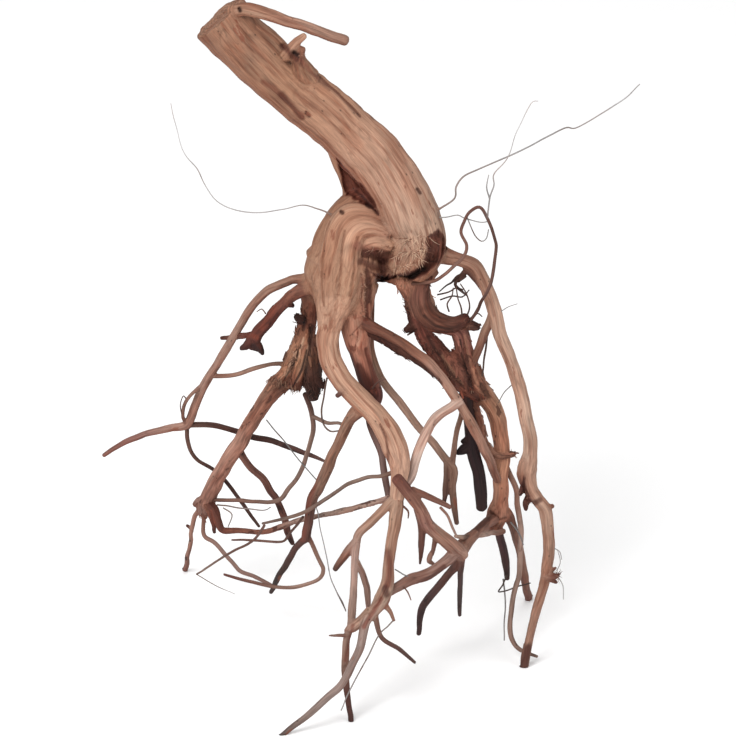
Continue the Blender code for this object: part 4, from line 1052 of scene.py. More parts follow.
root("thin_hanging_root", "#5b3b33 #8a6f62 #967c70 #8f7468 #8a6c60 #7b5f54", 1.6, """
    305 394 112 3, 312 413 113 2.8, 313 428 115 2.8, 310 445 118 2.8, 299 475 125 2.7, 288 490 129 2.7,
    278 501 131 2.7, 256 503 138 2.6, 239 501 146 2.5, 224 501 154 2.4, 211 501 161 2.2""", (
    ("312 416 113 2.4, 325 422 105 2.2, 336 423 95 2, 346 424 82 1.6", "#8a6f62 #8a6f62"),
))
root("crossing_rootlet", "#8f7265 #8a7265 #807069 #8a7265 #7b655c", 1.6, """
    394 472 54 3, 380 476 58 2.4, 365 478 63 2.2, 349 484 69 2.2, 335 493 75 2.2, 321 502 79 2.2,
    303 513 88 2.2, 289 518 95 2, 277 521 100 1.8, 262 524 106 1.4""")
root("companion_root", "#8a6350 #9c7868 #a98a7c #a58678 #9c7f72 #96796c #8b6f63", 1.6, """
    502 458 108 3.8, 510 475 110 3.3, 516 490 112 3.3, 520 517 116 3.2, 522 532 116 3.2,
    521 552 114 3.1, 520 573 110 3, 516 589 106 3, 512 610 101 2.9, 511 627 98 2.9, 513 640 96 2.8,
    521 651 94 2.6, 538 658 91 1.6""")
root("tendril", "#7b5446 #7b5a4e #705047 #63443b #6a4c43 #75584d", 1.4, """
    412 284 89 2.4, 432 282 83 2, 444 275 80 1.9, 453 267 79 1.9, 463 257 79 1.9, 466 246 81 1.9,
    461 233 83 1.9, 464 222 84 1.9, 469 213 85 1.9, 479 208 86 1.9, 487 218 86 1.9, 494 240 85 1.9,
    495 251 84 1.9, 492 279 81 1.9, 488 290 80 1.9, 483 299 81 1.9, 478 309 87 1.9, 468 324 96 1.9""")
root("long_rootlet_right", "#957b70 #a19c9b #989493 #a5a1a1 #b5b1b1", 1.2, """
    432 214 96 1.4, 450 203 95 1, 455 197 95 1, 456 188 95 1, 463 178 95 1, 477 171 95 0.9,
    509 157 96 0.9, 530 147 96.5 0.8, 549 137 97 0.8, 565 129 97.5 0.8, 575 129 98 0.7,
    597 117 98.5 0.7, 622 101 99.5 0.7, 638 86 100 0.6""")
root("long_rootlet_upper", "#a39c9a #b0abaa #c0bcbb #c8c4c4", 1.2, """
    487 217 86 1, 489 198 86 0.9, 493 186 86 0.8, 493 175 86 0.7, 506 160 87 0.6, 516 132 88 0.5,
    529 106 89 0.5, 537 103 90 0.4""")
root("long_rootlet_left", "#957b70 #a8a3a2 #b4b0af #c0bcbb #c8c4c4", 1.2, """
    334 216 90 1.2, 318 210 89 0.8, 303 206 88 0.7, 284 210 88 0.7, 262 213 89 0.7, 245 212 90 0.7,
    228 208 91 0.6, 215 199 92 0.6, 205 184 94 0.6, 197 169 95 0.6, 185 153 97 0.5, 177 127 99 0.5,
    172 105 100 0.4""")
THIN_ROOTS = (
    "thin_hanging_root", "crossing_rootlet", "companion_root", "tendril", "long_rootlet_right",
    "long_rootlet_upper", "long_rootlet_left",
)
THIN_SIDES = 10
thin_routes = routes_of(THIN_ROOTS)
corners, faces = joined([tube(route, THIN_SIDES) for route in thin_routes])
skin = bpy.data.meshes.new("thin_rootlets")
skin.from_pydata(corners, [], faces)
thin_rootlets = dress("thin_rootlets", skin, corners, thin_routes, rootlet_skin)
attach(thin_rootlets, "root")
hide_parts(*THIN_ROOTS)


# Trunk with its crown: sawn across at the upper end, barkless, its long grain flowing over the
# crown into the front root. The lower end is torn open.
root("trunk", "#9b725b #a0765e #a2775d #ab8067 #b58b73 #ba917a #ba9781 #a98068", 6.5, """
    220 19 125 31.8, 240 41 123 31.5, 260 59 120 32.5, 299 93 114 30, 324 113 110 30, 347 133 107 30.5,
    372 157 103 31.5, 394 187 99 31.5, 410 217 96 31.5, 418 242 94 31, 408 270 93 26""", (
    ("338 146 107 13, 350 171 107 15, 358 190 107 18, 362 208 105 22", "#a2775d #a47a62 #9c7059"),
    (
        "388 208 103 14, 368 205 100 20, 357 214 98 26, 351 226 97 31, 347 244 96 37, 343 262 95 42, "
        "339 276 94 39, 338 292 92 28",
        "#a07560 #9c7059 #a4795f #ab8067 #b0866c #b38a70",
    ),
    (
        "400 195 104 24, 392 225 108 34, 386 252 108 37, 388 269 104 24",
        "#a47a62 #946a54 #8a5c48 #7b4f3e",
    ),
    ("308 80 110 14, 301 68 105 10, 300 58 102 6.5, 303 51 100 4", "#ab8067 #a2775d #8a5c48"),
    ("286 58 106 8, 291 51 103 6, 298 44 101 5, 305 38 100 3.6", "#a2775d #b58b73 #b58b73"),
    (
        "382 216 96 9, 368 208 96 11, 352 206 96 11, 339 213 96 11, 330 228 95 12, 323 246 93 13, "
        "320 266 91 13, 321 288 88 11, 325 310 84 8",
        "#926853 #99725b #a47d65 #9d755d #a07760 #a78168",
    ),
    (
        "384 222 92 9, 366 215 89 12, 350 215 87 13, 340 227 86 14, 335 246 84 15, 332 268 82 14, "
        "331 290 80 12, 329 312 78 9",
        "#a07560 #ad836b #b78d73 #b0866c #b58b72 #b88d74",
    ),
    (
        "386 234 88 8, 370 228 85 11, 357 231 83 12, 351 243 82 13, 349 261 81 13, 347 283 80 12, "
        "342 305 79 9",
        "#ab7d67 #b58970 #c5987d #bc8f74 #bf9478 #c5977c",
    ),
    (
        "389 246 86 7, 375 243 84 9, 364 249 84 9, 359 263 84 10, 357 282 84 9, 352 300 83 7",
        "#b98c72 #c3957b #b3866c #af806a #b98c72",
    ),
    (
        "388 277 94 6, 398 282 92 5.5, 413 286 90 4, 427 282 91 3.6, 437 272 92 2.4",
        "#8a5c48 #a67d68 #b28a74 #a67d68 #7b4f3e",
    ),
    ("404 282 92 3, 416 280 91 3, 428 273 91 2", "#7b4f3e #8a5c48 #6a4032"),
))
root("top_branch", "#a07660 #ad866f #a98370 #a07a68 #96705f", 2.4, """
    232 14 118 7, 250 12 113 7.7, 273 18 110 7.2, 293 25 108 6.6, 316 33 107 6, 346 43 106 5.6""")
root("front_root", "#b28870 #be947b #c2977e #c2977e #bd9279 #bd9279 #c89d85 #c89d85", 3.6, """
    340 264 92 30, 338 288 87 26, 333 308 83 19, 329 330 81 12, 328 345 79 12.5, 331 362 77 12.7,
    342 380 74 12.5, 353 392 71 12.3, 365 404 68 12.3, 376 415 65 12.6, 387 431 61 13.5, 395 447 58 14,
    399 461 55 12, 399 475 52 10, 397 498 48 8.3""", (
    ("347 388 70 4, 337 396 66 2.8", "#a47e6b #5e3d36"),
))
LEAVING = (
    "left_root", "bark_root", "rust_stub_root", "middle_root", "right_root", "straight_root",
    "middle_left_root", "long_rootlet_left", "long_rootlet_right",
)
TRUNK_MARKS = (
    ("264 84, 274 90, 284 100", 3.2, 1.2, "#7b4a38", 0.8),
    ("282 97, 292 107, 302 118", 4.2, 1.6, "#5f3224", 0.9),
    ("306 115, 309 118", 2.2, 1.5, "#4a281f", 0.85),
    ("318 77, 338 95, 360 118", 1.6, 1.8, "#6a4032", 0.8),
    ("300 66, 316 79, 330 92", 1.2, 0.8, "#7b4f3e", 0.6),
    ("284 48, 291 56, 297 61", 3.4, 1.8, "#5a2c20", 0.85),
    ("294 54, 298 57", 2.4, 3.0, "#2e1711", 0.95),
    ("302 62, 310 72, 318 80", 2.2, 0.8, "#7b4032", 0.6),
    ("240 11, 241 13", 2.2, 2.5, "#2e1711", 0.95),
    ("417 190, 420 194", 1.8, 1.2, "#4a281f", 0.85),
    ("372 118, 374 120", 1.6, 0.8, "#6a4032", 0.7),
    ("380 424, 386 438, 388 452, 388 468", 1.2, 1.0, "#6a3f33", 0.7),
    ("316 300, 315 318, 318 336", 1.0, 0.6, "#8a5c48", 0.5),
    ("338 300, 335 318, 334 336, 340 356", 0.8, 0.5, "#9a6a54", 0.45),
    # A hollow under the crown, dipped in. Its dark reddish tone, and the dark line in it below, are painted
    # shade.
    (
        "336 158, 349 173, 363 187, 374 202, 381 219, 374 211, 360 203, 352 199, 345 195, 343 188, "
        "341 178, 336 158",
        4, 7.0, "#71392b", 0.92,
    ),
    ("356 192, 366 201, 378 215", 1.8, 2.0, "#3b1b14", 0.8),
    ("341 212, 343 214", 2.0, 2.5, "#4a281f", 0.9),
    ("367 206, 370 208", 2.0, 2.0, "#3b1b14", 0.9),
    ("330 222, 325 240, 323 262, 322 284, 324 306", 1.3, 1.2, "#84553f", 0.6),
    ("345 232, 342 250, 341 272, 338 296", 1.2, 1.0, "#8a5c48", 0.5),
    ("358 238, 355 252, 354 272, 350 296", 1.4, 1.2, "#84553f", 0.6),
    # The next four marks are a recess under the crown: a reddish stain, with painted shade in the two
    # darker lines at its deepest part.
    ("356 246, 366 249, 376 251", 4.5, 1.0, "#8a5344", 0.6),
    ("364 254, 374 256, 384 261", 5, 3.0, "#54291f", 0.85),
    ("362 262, 372 267, 384 270", 4.5, 2.5, "#5d3228", 0.75),
    ("376 252, 388 256, 398 262", 3.5, 1.0, "#8a5344", 0.55),
    # The straight root seen behind the front root: its own reddish tone, darkened with painted shade.
    ("367 272, 369 286, 368 302, 369 320", 3.8, 3.0, "#54291f", 0.85),
    ("361 274, 363 286, 361 298, 363 312", 1.0, 1.0, "#8a5344", 0.7),
    # The torn base: dark rotted wood and a remnant of bark, with painted shade in the hollow under it.
    (
        "370 272, 382 274, 392 275, 408 272, 422 263, 429 250, 424 243, 430 234, 438 229, 445 238, "
        "447 250, 440 262, 426 275, 410 283, 394 288, 380 284, 370 272",
        6, 8.0, "#5f3226", 0.93,
    ),
    # A near-black line under the torn base: painted shadow.
    ("382 279, 396 281, 410 277, 422 269", 4, 2.0, "#1c0d0a", 0.9),
    ("426 246, 434 238, 440 244, 438 256", 3, 0.0, "#8a4e3e", 0.5),
    ("424 252, 430 262, 438 262", 1.0, 0.6, "#2b140f", 0.7),
    ("434 236, 439 248, 437 260", 0.9, 0.6, "#2b140f", 0.6),
)
TRUNK_SIDES = 48
CROWN_SIDES = 28
TRUNK_VOXEL = 0.8
SAWN_EDGE = 0.3
trunk_routes = routes_of(("trunk", "top_branch", "front_root"))
leaving_routes = [grown[root_name][0] for root_name in LEAVING]
tubes = [tube(trunk_routes[0], TRUNK_SIDES, blunt=SAWN_EDGE, flat=True)]
tubes += [tube(route, CROWN_SIDES) for route in trunk_routes[1:]]
tubes += [tube(collar(route), ROOT_SIDES) for route in leaving_routes]
skin, points = fused(tubes, TRUNK_VOXEL)
# The trunk's wood: water-worn like that of its roots, with growth rings where it was sawn.
sawn_wood = wood_material(
    "trunk_wood_sawn_and_worn", fibre=0.7, contrast=0.32, depth=0.35, roughness=0.62,
    vein="#b07a60", stain="#70402f", bareness=0.64, ring=2.1,
)
trunk_routes += leaving_routes
trunk_piece = dress("trunk_and_crown", skin, points, trunk_routes, sawn_wood, TRUNK_MARKS)
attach(trunk_piece, "root")
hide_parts("trunk", "top_branch", "front_root")


# Hair rootlets: the finest ends of the root, 0.4 to 3.2 mm thick, dried stiff in the curves they
# grew in. Each is one filament that leaves a thicker root.
def nodes_for(name, inputs):
    """A new Geometry Nodes tree, its input node, and the identifier of each of its inputs."""
    tree = bpy.data.node_groups.new(name, "GeometryNodeTree")
    sockets = {}
    for label, kind in inputs.items():
        socket = tree.interface.new_socket(label, in_out="INPUT", socket_type="NodeSocket" + kind)
        sockets[label] = socket.identifier
    tree.interface.new_socket("Grown", in_out="OUTPUT", socket_type="NodeSocketGeometry")
    return tree, add_node(tree, "NodeGroupInput"), sockets


def end_nodes(tree, given, shape):
    """Ends a tree: the shape is made real and gets the material that the tree is given."""
    real = add_node(tree, "GeometryNodeRealizeInstances", links={0: shape.outputs[0]})
    skinned = add_node(
        tree, "GeometryNodeSetMaterial",
        links={"Geometry": real.outputs[0], "Material": given.outputs["Material"]},
    )
    add_node(tree, "NodeGroupOutput", links={0: skinned.outputs[0]})


filaments, given, FILAMENT_INPUTS = nodes_for(
    "filaments", {"Lines": "Geometry", "Sides": "Int", "Material": "Material"}
)
lines = add_node(filaments, "GeometryNodeMeshToCurve", links={0: given.outputs["Lines"]})
thickness = add_node(filaments, "GeometryNodeInputNamedAttribute", {"Name": "thickness"})
outline = add_node(
    filaments, "GeometryNodeCurvePrimitiveCircle",
    {"Radius": 1.0}, {"Resolution": given.outputs["Sides"]},
)
swept = add_node(
    filaments, "GeometryNodeCurveToMesh", {"Fill Caps": True},
    {"Curve": lines.outputs[0], "Profile Curve": outline.outputs[0], "Scale": thickness.outputs[0]},
)
smooth = add_node(filaments, "GeometryNodeSetShadeSmooth", links={0: swept.outputs[0]})
end_nodes(filaments, given, smooth)


def grown_piece(name, emitter, tree, inputs):
    """Runs a Geometry Nodes tree on a mesh and keeps the result as a plain piece."""
    source = in_scene(name + "_source", emitter)
    step = source.modifiers.new("grow", "NODES")
    step.node_group = tree
    for socket, value in inputs.items():
        step[socket] = value
    graph = bpy.context.evaluated_depsgraph_get()
    mesh = bpy.data.meshes.new_from_object(source.evaluated_get(graph))
    bpy.data.objects.remove(source)
    bpy.data.meshes.remove(emitter)
    mesh.name = name
    return in_scene(name, mesh)


STRAND_STEP = 0.8 * MM
STRAND_APART = 3 * MM
LOWEST = (-np.inf, -np.inf, 0.4 * MM)


def filament_piece(name, strands, sides, material):
    """One piece of filaments. Each strand has its centres, thicknesses and tones."""
    points, thick, tones, place, edges = [], [], [], [], []
    for number, (centre, radius, tone) in enumerate(strands):
        first = sum(len(part) for part in points)
        run = np.arange(len(centre)) * STRAND_STEP
        points.append(np.maximum(centre, LOWEST))
        thick.append(radius)
        tones.append(tone)
        place.append(np.stack((run * 0 + number * STRAND_APART, run * 0, run), axis=1))
        edges += [(first + index, first + index + 1) for index in range(len(centre) - 1)]
    lines = bpy.data.meshes.new(name + "_lines")
    lines.from_pydata(np.vstack(points), edges, [])
    fibre = np.vstack(place)
    more = (("thickness", "FLOAT", "value", np.concatenate(thick)),)
    write_layers(lines, np.vstack(tones), fibre, fibre, np.ones(len(fibre)), more)
    inputs = {FILAMENT_INPUTS["Sides"]: sides, FILAMENT_INPUTS["Material"]: material}
    return grown_piece(name, lines, filaments, inputs)


HAIRS = (
    ("#6a5249 #7b655c",
     "327 378 100 1.2, 324 394 101 1, 321 410 103 1, 323 424 104 1, 330 431 98 1, 342 430 82 0.9"),
    ("#5e4239 #705147 #6a4439",
     "303 517 92 1.6, 295 528 97 1.5, 287 537 102 1.5, 280 542 108 1.4, 254 541 120 1.4, "
     "231 541 130 1"),
    ("#6a4c43 #705147 #8a7265",
     "264 526 112 1.6, 257 537 118 1.5, 249 544 122 1.5, 225 557 134 1.4, 195 576 148 1"),
    ("#8a7265 #b8b3b1", "195 576 148 0.6, 212 586 144 0.5, 234 596 140 0.4"),
    ("#989190 #989190 #5b4a44",
     "315 503 90 0.7, 321 532 88 0.6, 326 555 84 0.6, 331 578 80 0.6, 336 592 76 0.6, 342 603 72 1.1, "
     "346 612 70 0.5"),
    ("#7c7876 #7c7876", "266 420 128 0.8, 283 440 126 0.7, 300 462 122 0.7, 316 480 116 0.7"),
    ("#7c7876 #989190", "504 580 118 0.9, 506 605 112 0.8, 505 642 100 0.7"),
    ("#63544d #63544d",
     "508 576 118 1, 503 586 116 0.9, 499 593 114 0.9, 507 592 112 0.9, 519 588 108 0.9, "
     "531 584 104 0.8"),
    ("#63544d #63544d", "514 383 82 0.6, 504 392 83 0.6, 498 403 82 0.5"),
    ("#989190 #989190", "500 312 86 0.6, 508 307 84 0.5, 517 304 82 0.4"),
    ("#63443b #5b4a44", "487 336 95 1.2, 485 355 97 1.2, 482 376 98 1"),
    ("#7d6f68 #a9a3a1",
     "394 619 21 0.9, 388 625 20 0.8, 380 633 18 0.8, 368 656 13 0.8, 353 684 8.5 0.8, 341 710 4 0.7"),
    ("#9c9795 #a9a3a1", "489 200 86 0.9, 486 188 84 0.8, 488 176 82 0.6"),
    ("#9c9795 #9c9795",
     "438 218 94 0.8, 447 218 92 0.7, 457 216 89 0.7, 464 219 87 0.7, 480 223 86 0.6, 488 222 86 0.6"),
    ("#9c9795 #9c9795",
     "466 216 85 0.7, 470 227 84 0.7, 475 237 84 0.7, 481 242 84 0.7, 486 239 84 0.7, 488 230 85 0.6"),
    ("#5b3a30 #40291f #40291f",
     "467 273 96 1.4, 458 277 95 1.6, 452 283 95 1.2, 446 286 94 0.9, 439 292 94 0.7"),
    ("#40291f #4a352f", "458 278 96 2.2, 455 285 95 1.8, 461 291 94 1.6, 467 296 93 0.8"),
    ("#4a352f #4a352f", "437 295 94 0.9, 448 292 93 0.9, 456 288 93 0.8, 463 290 93 0.7"),
    ("#4a352f #4a352f", "440 300 94 0.9, 452 296 93 0.9, 462 297 93 0.8, 469 290 93 0.7"),
    ("#4a352f #5b4239", "449 312 91 1, 447 304 92 0.9, 452 296 93 0.8, 453 288 93 0.6"),
    ("#4a352f #5b4239", "462 320 92 1.1, 461 308 92 1, 457 298 92 0.8, 456 286 93 0.7"),
    ("#4a352f #5b4239", "465 320 93 1.1, 469 307 93 1, 466 294 93 0.9, 460 284 94 0.7"),
    ("#4a352f #5b4239", "470 322 94 1, 476 311 93 0.9, 481 301 91 0.8, 485 296 90 0.6"),
    ("#4a352f #5b4239", "468 320 94 1, 477 314 92 0.8, 482 317 91 0.6"),
    ("#40291f #5b3a30 #40291f", "456 280 96 1.2, 461 278 96 3, 466 276 96 1.4"),
    ("#9c9795 #b8b3b1", "553 548 79 0.6, 560 552 78 0.5, 562 560 77 0.4"),
    ("#9c9795 #b8b3b1", "558 577 78 0.7, 563 586 77 0.5, 564 600 76 0.4"),
    ("#9c9795 #b8b3b1", "557 571 78 0.6, 561 562 77 0.5, 558 551 77 0.4"),
    ("#7c7876 #7c7876", "509 520 112 1, 520 534 108 0.9, 524 546 105 0.7"),
    ("#8a7265 #989190", "222 509 156 0.8, 231 516 152 0.8, 227 528 150 0.7"),
    ("#8a7265 #989190", "216 506 158 0.9, 240 509 148 0.8, 262 511 138 0.7, 270 508 134 0.6"),
    ("#6e5148 #6e5148", "187 402 127 0.8, 183 396 127 0.7, 180 404 128 0.7, 181 414 130 0.7"),
    ("#705147 #8a7265", "266 314 92 0.8, 262 309 92 0.7, 257 312 92 0.5"),
    ("#5b3a30 #6e5148", "371 390 84 1.2, 378 382 78 1, 386 379 77 0.7"),
    ("#7c7876 #7c7876", "395 569 36 0.8, 403 573 38 0.8, 412 578 40 0.7"),
    ("#8a6457 #9a7364 #8a6457", "433 550 53 1.8, 430 556 53 3.2, 429 561 53 3.2, 434 564 53 1.6"),
    ("#8a5f50 #a98a7c", "440 507 47 1.6, 447 515 47 1.6, 452 526 48 1.6, 456 535 50 1.4"),
    ("#6a4439 #8a6457", "404 587 33 1, 408 592 34 0.9, 411 600 34 0.6"),
    ("#6a4439 #6a4439", "402 505 46 1.4, 408 511 46 1.2, 408 518 46 0.7"),
)
# Every root has a number that steers its wavering, and the hairs count on from this one.
FIRST_HAIR = 60
HAIR_SIDES = 6
strands = []
for number, (tones, stations) in enumerate(HAIRS):
    route = route_along(stations, FIRST_HAIR + number)
    steps = wood_tones(tones)
    share = route["run"] / route["run"][-1] * (len(steps) - 1)
    tone = [np.interp(share, np.arange(len(steps)), steps[:, channel]) for channel in range(3)]
    strands.append((route["centre"], route["radius"], np.stack(tone, axis=1)))
hair_rootlets = filament_piece("hair_rootlets", strands, HAIR_SIDES, rootlet_skin)
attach(hair_rootlets, "root")


# Torn fibres: where wood or bark was torn, its fibres stand up as a pale fringe a few
# millimetres long. They start on the surface that they were torn from.
def surface_of(piece):
    """A piece's faces, ready to be asked which of them a line of sight meets first."""
    corners = read_field(piece.data.vertices, "co", 3).tolist()
    return BVHTree.FromPolygons(corners, [tuple(face.vertices) for face in piece.data.polygons])


FAR_IN_FRONT = -400
RIGHT = np.array((1.0, 0.0, 0.0))
UP = np.cross(RIGHT, -TOWARDS_VIEWER)
FIBRE_WIDTH = 0.45 * MM
FIBRE_STEPS = 6
FIBRE_SIDES = 4
FIBRE_START = 1.15
SCATTER = 1.5
CLINGING = 0.8
ROOTED = 0.3 * MM
# A fibre curls by about CURL radians. Its length, and how far it stands off the wood at its tip,
# are drawn from these ranges, as shares of the length told and of its own length.
CURL = 0.5
LENGTH_RANGE = (0.5, 1.2)
LIFT_RANGE = (0.05, 0.35)


def torn_strands(surface, start, end, count, angle, spread, length, tones, seed):
    """Fibres that start between two places in the view and lean at an angle above the right. The
    angles are in degrees, the length in mm and the scatter of the starts in pixels."""
    chance = np.random.default_rng(seed)
    steps = np.linspace(0, 1, FIBRE_STEPS)[:, None]
    fibre_tones = wood_tones(tones)
    made = []
    for _ in range(count):
        place = np.array(start) + (np.array(end) - start) * chance.random()
        place = place + chance.normal(0, SCATTER, 2)
        source = picture_point(np.array(((*place, FAR_IN_FRONT, 0),), float))[0]
        found = surface.ray_cast(Vector(source), Vector(-TOWARDS_VIEWER))
        turn = math.radians(angle + chance.normal(0, spread))
        curl = chance.normal(0, CURL)
        reach = length * MM * chance.uniform(*LENGTH_RANGE)
        lift = chance.uniform(*LIFT_RANGE)
        tone = fibre_tones[chance.integers(len(fibre_tones))]
        if found[0] is None:
            continue
        heading = turn + curl * steps
        normal = np.array(found[1])
        way = np.cos(heading) * RIGHT + np.sin(heading) * UP
        way = way - (way @ normal)[:, None] * normal * CLINGING
        centre = np.array(found[0]) + np.cumsum(way, axis=0) * reach / FIBRE_STEPS - normal * ROOTED
        centre = centre + normal * (lift * reach * steps)
        radius = FIBRE_WIDTH / 2 * (FIBRE_START - steps[:, 0])
        made.append((centre, radius, np.repeat(tone[None], FIBRE_STEPS, axis=0)))
    return made


trunk_surface, flare_surface, right_bark_surface, right_surface = map(
    surface_of, (trunk_piece, bark_piece, right_bark_piece, right_roots)
)
# Each torn place: its surface, its start and end in the view, how many fibres it has, their lean
# and its spread in degrees, their length in mm, and their tones.
TORN_PLACES = (
    (trunk_surface, (390, 244), (426, 236), 40, -100, 55, 8, "#dcb89c #b8917a #d2b096 #8a5c48"),
    (trunk_surface, (392, 255), (424, 249), 50, -85, 60, 7, "#dcb89c #b8917a #e0bfa4 #7b4f3e"),
    (trunk_surface, (394, 268), (424, 260), 50, -80, 50, 5, "#dcb89c #b8917a #8a5c48 #c9a58a"),
    (trunk_surface, (361, 272), (365, 318), 60, -40, 30, 3, "#b8917a #a67d68 #8a5c48"),
    (trunk_surface, (357, 246), (388, 252), 30, -120, 40, 4, "#a67d68 #8a5c48 #7b4f3e"),
    (trunk_surface, (296, 54), (304, 60), 14, 60, 40, 3, "#8a5344 #a67d68"),
    (flare_surface, (272, 376), (300, 390), 90, -105, 22, 4.5, "#8f6a55 #7b5745 #5e3c30 #a07c66"),
    (flare_surface, (304, 380), (318, 396), 50, -90, 40, 4, "#472c22 #5e3c30 #331d16"),
    (flare_surface, (298, 345), (290, 370), 40, -115, 15, 6, "#9a7560 #7b5745 #5e3c30"),
    (right_bark_surface, (404, 294), (412, 330), 50, -150, 40, 3.5, "#5b392f #40261f #7b5342"),
    (right_bark_surface, (426, 338), (462, 384), 60, -110, 60, 4, "#5b392f #40261f #7b5342 #8a5f4c"),
    (right_bark_surface, (462, 322), (482, 328), 30, 0, 70, 3.5, "#5b392f #40261f #7b5342"),
    (right_bark_surface, (470, 386), (486, 398), 40, -80, 60, 4, "#8a4a38 #5b392f #b08a72"),
    (right_bark_surface, (511, 453), (518, 456), 24, 10, 60, 3, "#a98070 #8a6350 #7b5342"),
    (right_bark_surface, (488, 518), (502, 530), 12, -60, 90, 2.5, "#8a5c48 #6a4439 #a07863"),
    (right_surface, (380, 340), (440, 382), 70, -130, 35, 3, "#5b392f #40261f #7b5342"),
    (right_surface, (523, 488), (531, 502), 30, -120, 60, 3, "#6a3f34 #8f6553 #4a281f"),
    (right_surface, (556, 573), (559, 582), 30, -10, 60, 4, "#9a7462 #8b7f77 #6a4135"),
)
FIRST_SEED = 40
strands = []
for number, torn in enumerate(TORN_PLACES):
    strands += torn_strands(*torn, FIRST_SEED + number)
torn_fibres = filament_piece("torn_fibres", strands, FIBRE_SIDES, bare_wood)
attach(torn_fibres, "root")


# Bark flakes: thin curled scales of dry bark that still hang on the two bark roots. They lie
# along the root and stand up a little at one edge.
scales, given, SCALE_INPUTS = nodes_for(
    "bark_scales", {"Places": "Geometry", "Scale of bark": "Object", "Material": "Material"}
)
dots = add_node(scales, "GeometryNodeMeshToPoints", links={0: given.outputs["Places"]})
outward, lengthwise, size = (
    add_node(
        scales, "GeometryNodeInputNamedAttribute", {"Name": label}, data_type="FLOAT_VECTOR"
    ).outputs[0]
    for label in ("outward", "lengthwise", "size")
)
upright = add_node(
    scales, "FunctionNodeAlignRotationToVector", links={"Vector": outward}, axis="Z"
)
laid = add_node(
    scales, "FunctionNodeAlignRotationToVector",
    links={"Rotation": upright.outputs[0], "Vector": lengthwise}, axis="X", pivot_axis="Z",
)
scale_shape = add_node(
    scales, "GeometryNodeObjectInfo", links={"Object": given.outputs["Scale of bark"]}
)
placed = add_node(
    scales, "GeometryNodeInstanceOnPoints",
    links={
        "Points": dots.outputs[0],
        "Instance": scale_shape.outputs["Geometry"],
        "Rotation": laid.outputs[0],
        "Scale": size,
    },
)
end_nodes(scales, given, placed)

# One scale of bark, 2 long and 1 wide before it is sized: five rows of three corners, curled up
# at its sides and at one end, and as many below them. It narrows to both ends and lies askew.
SCALE_THICKNESS = 0.3
SCALE_CURL = 0.35
SIDE_RISE, END_RISE = 0.35, 0.7
SCALE_ROWS = (-1.0, -0.55, 0.0, 0.5, 1.0)
NARROWING, NARROWING_CURVE = 0.35, 1.5
LIFTED_END_WIDTH = 0.85
SLANT = 0.12
scale_top = []
for along in SCALE_ROWS:
    lifted = along > 0
    half = 0.5 * (1 - NARROWING * abs(along) ** NARROWING_CURVE) * (LIFTED_END_WIDTH if lifted else 1)
    for side in (-1, 0, 1):
        rise = SCALE_CURL * (side * side * SIDE_RISE + max(along, 0) ** 2 * END_RISE)
        scale_top.append((along, side * half + SLANT * along, rise))
half_thickness = np.array((0, 0, SCALE_THICKNESS / 2))
scale_points = np.vstack((scale_top + half_thickness, scale_top - half_thickness))
below = len(scale_top)
scale_faces = []
for row in range(len(SCALE_ROWS) - 1):
    for side in range(2):
        here = row * 3 + side
        under = here + below
        scale_faces.append((here, here + 3, here + 4, here + 1))
        scale_faces.append((under, under + 1, under + 4, under + 3))
rim = [0, 3, 6, 9, 12, 13, 14, 11, 8, 5, 2, 1]
for first, second in zip(rim, rim[1:] + rim[:1]):
    scale_faces.append((first, first + below, second + below, second))
scale_mesh = bpy.data.meshes.new("bark_scale")
scale_mesh.from_pydata(scale_points, [], scale_faces)
scale_of_bark = in_scene("bark_scale", scale_mesh)

SCALE_SHARE = 0.014
SCALE_SIZE = np.array((2.2, 1.1, 0.8)) * MM
STANDING_OFF = 0.2 * MM
ROUGH_BARK = 0.4 * MM
# How far a scale turns from the root's direction and tips over, and its ranges of size and tone.
TURNED, TIPPED = 0.2, 0.15
SIZE_RANGE = (0.5, 1.4)
TONE_RANGE = (0.7, 1.35)
SCALE_SEED = 11
chance = np.random.default_rng(SCALE_SEED)
places, outwards, lengths, sizes, tints, fibres = [], [], [], [], [], []
for piece, names in (
    (bark_piece, ("bark_root",)),
    (right_bark_piece, ("right_bark_root", "crossing_bark", "bare_band")),
):
    corners = read_field(piece.data.vertices, "co", 3)
    normals = read_field(piece.data.vertex_normals, "vector", 3)
    colours = read_field(piece.data.attributes["tint"].data, "color", 4)[:, :3]
    chosen = np.flatnonzero(chance.random(len(corners)) < SCALE_SHARE)
    routes = routes_of(names)
    which, section, _, _ = follow(corners[chosen], routes)
    for index, number, place in zip(chosen, which[0], section[0]):
        route = routes[number]
        spot = min(int(np.searchsorted(route["run"], place[2])), len(route["run"]) - 1)
        steps = np.linspace(0, 1, len(route["rough"]))
        if np.interp(place[2] / route["run"][-1], steps, route["rough"]) < ROUGH_BARK:
            continue
        lengths.append(route["along"][spot] + chance.normal(0, TURNED, 3))
        places.append(corners[index] + normals[index] * STANDING_OFF)
        outwards.append(normals[index] + chance.normal(0, TIPPED, 3))
        sizes.append(SCALE_SIZE * chance.uniform(*SIZE_RANGE))
        tints.append(colours[index] * chance.uniform(*TONE_RANGE))
        fibres.append(place)
dots_mesh = bpy.data.meshes.new("bark_places")
dots_mesh.from_pydata(np.array(places), [], [])
more = (
    ("outward", "FLOAT_VECTOR", "vector", outwards),
    ("lengthwise", "FLOAT_VECTOR", "vector", lengths),
    ("size", "FLOAT_VECTOR", "vector", sizes),
)
write_layers(dots_mesh, np.array(tints), fibres, fibres, np.ones(len(tints)), more)
inputs = {SCALE_INPUTS["Scale of bark"]: scale_of_bark, SCALE_INPUTS["Material"]: bark}
bark_scales = grown_piece("bark_scales", dots_mesh, scales, inputs)
bpy.data.objects.remove(scale_of_bark)
bpy.data.meshes.remove(scale_mesh)
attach(bark_scales, "root")


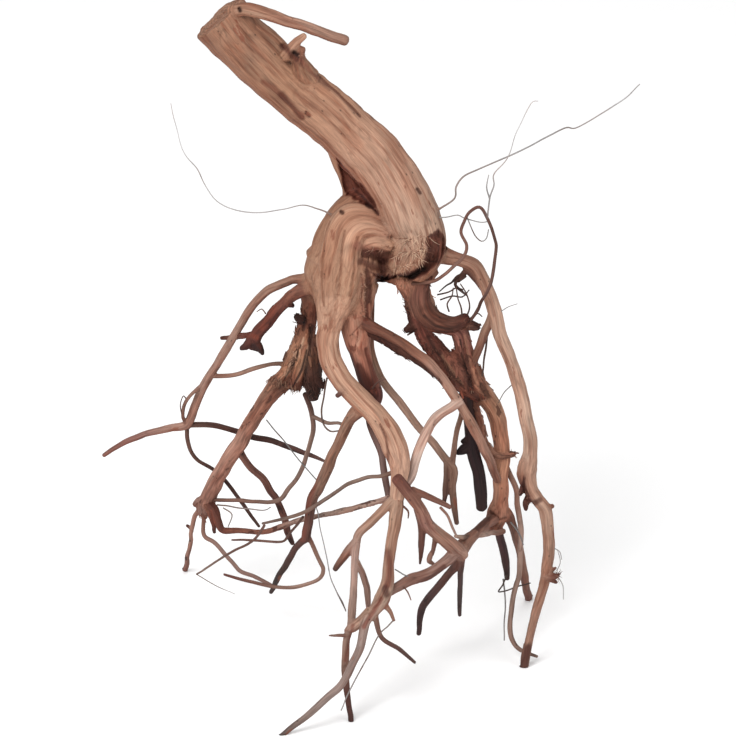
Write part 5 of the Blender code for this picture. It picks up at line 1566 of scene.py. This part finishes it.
# Floor: a wide pale sheet. Soft light comes from above in front, with a weaker fill and sky.
FLOOR_HALF = 6.0
FLOOR_HEIGHT = -0.2 * MM
PAPER_WHITE = (0.9, 0.9, 0.9, 1)
floor_corners = [
    (x * FLOOR_HALF, y * FLOOR_HALF, FLOOR_HEIGHT) for x, y in ((-1, -1), (1, -1), (1, 1), (-1, 1))
]
floor_mesh = bpy.data.meshes.new("floor")
floor_mesh.from_pydata(floor_corners, [], [(0, 1, 2, 3)])
floor = in_scene("floor", floor_mesh)
floor_paint = bpy.data.materials.new("backdrop_paper_matt")
floor_paint.use_nodes = True
paper = floor_paint.node_tree.nodes["Principled BSDF"]
paper.inputs["Roughness"].default_value = 0.9
paper.inputs["Base Color"].default_value = PAPER_WHITE
floor_mesh.materials.append(floor_paint)

SKY_STRENGTH = 0.55
world = bpy.data.worlds.new("studio")
world.use_nodes = True
world.node_tree.nodes["Background"].inputs["Color"].default_value = (1, 1, 1, 1)
world.node_tree.nodes["Background"].inputs["Strength"].default_value = SKY_STRENGTH
bpy.context.scene.world = world

# Each lamp with its place and size in metres and its power in watts.
LAMPS = (
    ("key", (-0.8, -1.5, 1.8), 52, 1.1),
    ("fill", (1.5, -1.3, 1.1), 12, 1.6),
    ("top", (0.2, 0.6, 2.4), 16, 2.0),
)
LIT_POINT = Vector((0, 0, 0.2))
for name, place, power, size in LAMPS:
    light = bpy.data.lights.new(name, "AREA")
    light.energy = power
    light.size = size
    lamp = in_scene(name, light)
    lamp.location = place
    lamp.rotation_euler = (LIT_POINT - Vector(place)).to_track_quat("-Z", "Y").to_euler()

CAMERA_DISTANCE = 12.0
FRAME_PIXELS = 736
SENSOR = 36.0
CAMERA_END = 100
target = Vector((-0.00055, 0.0, 0.1736))
camera_data = bpy.data.cameras.new("camera")
camera_data.sensor_width = SENSOR
camera_data.lens = SENSOR * CAMERA_DISTANCE / (FRAME_PIXELS * PIXEL_SIZE)
camera_data.clip_end = CAMERA_END
camera = in_scene("camera", camera_data)
camera.location = target + Vector(TOWARDS_VIEWER) * CAMERA_DISTANCE
camera.rotation_euler = (target - camera.location).to_track_quat("-Z", "Y").to_euler()
bpy.context.scene.camera = camera
bpy.context.scene.view_settings.view_transform = "Standard"
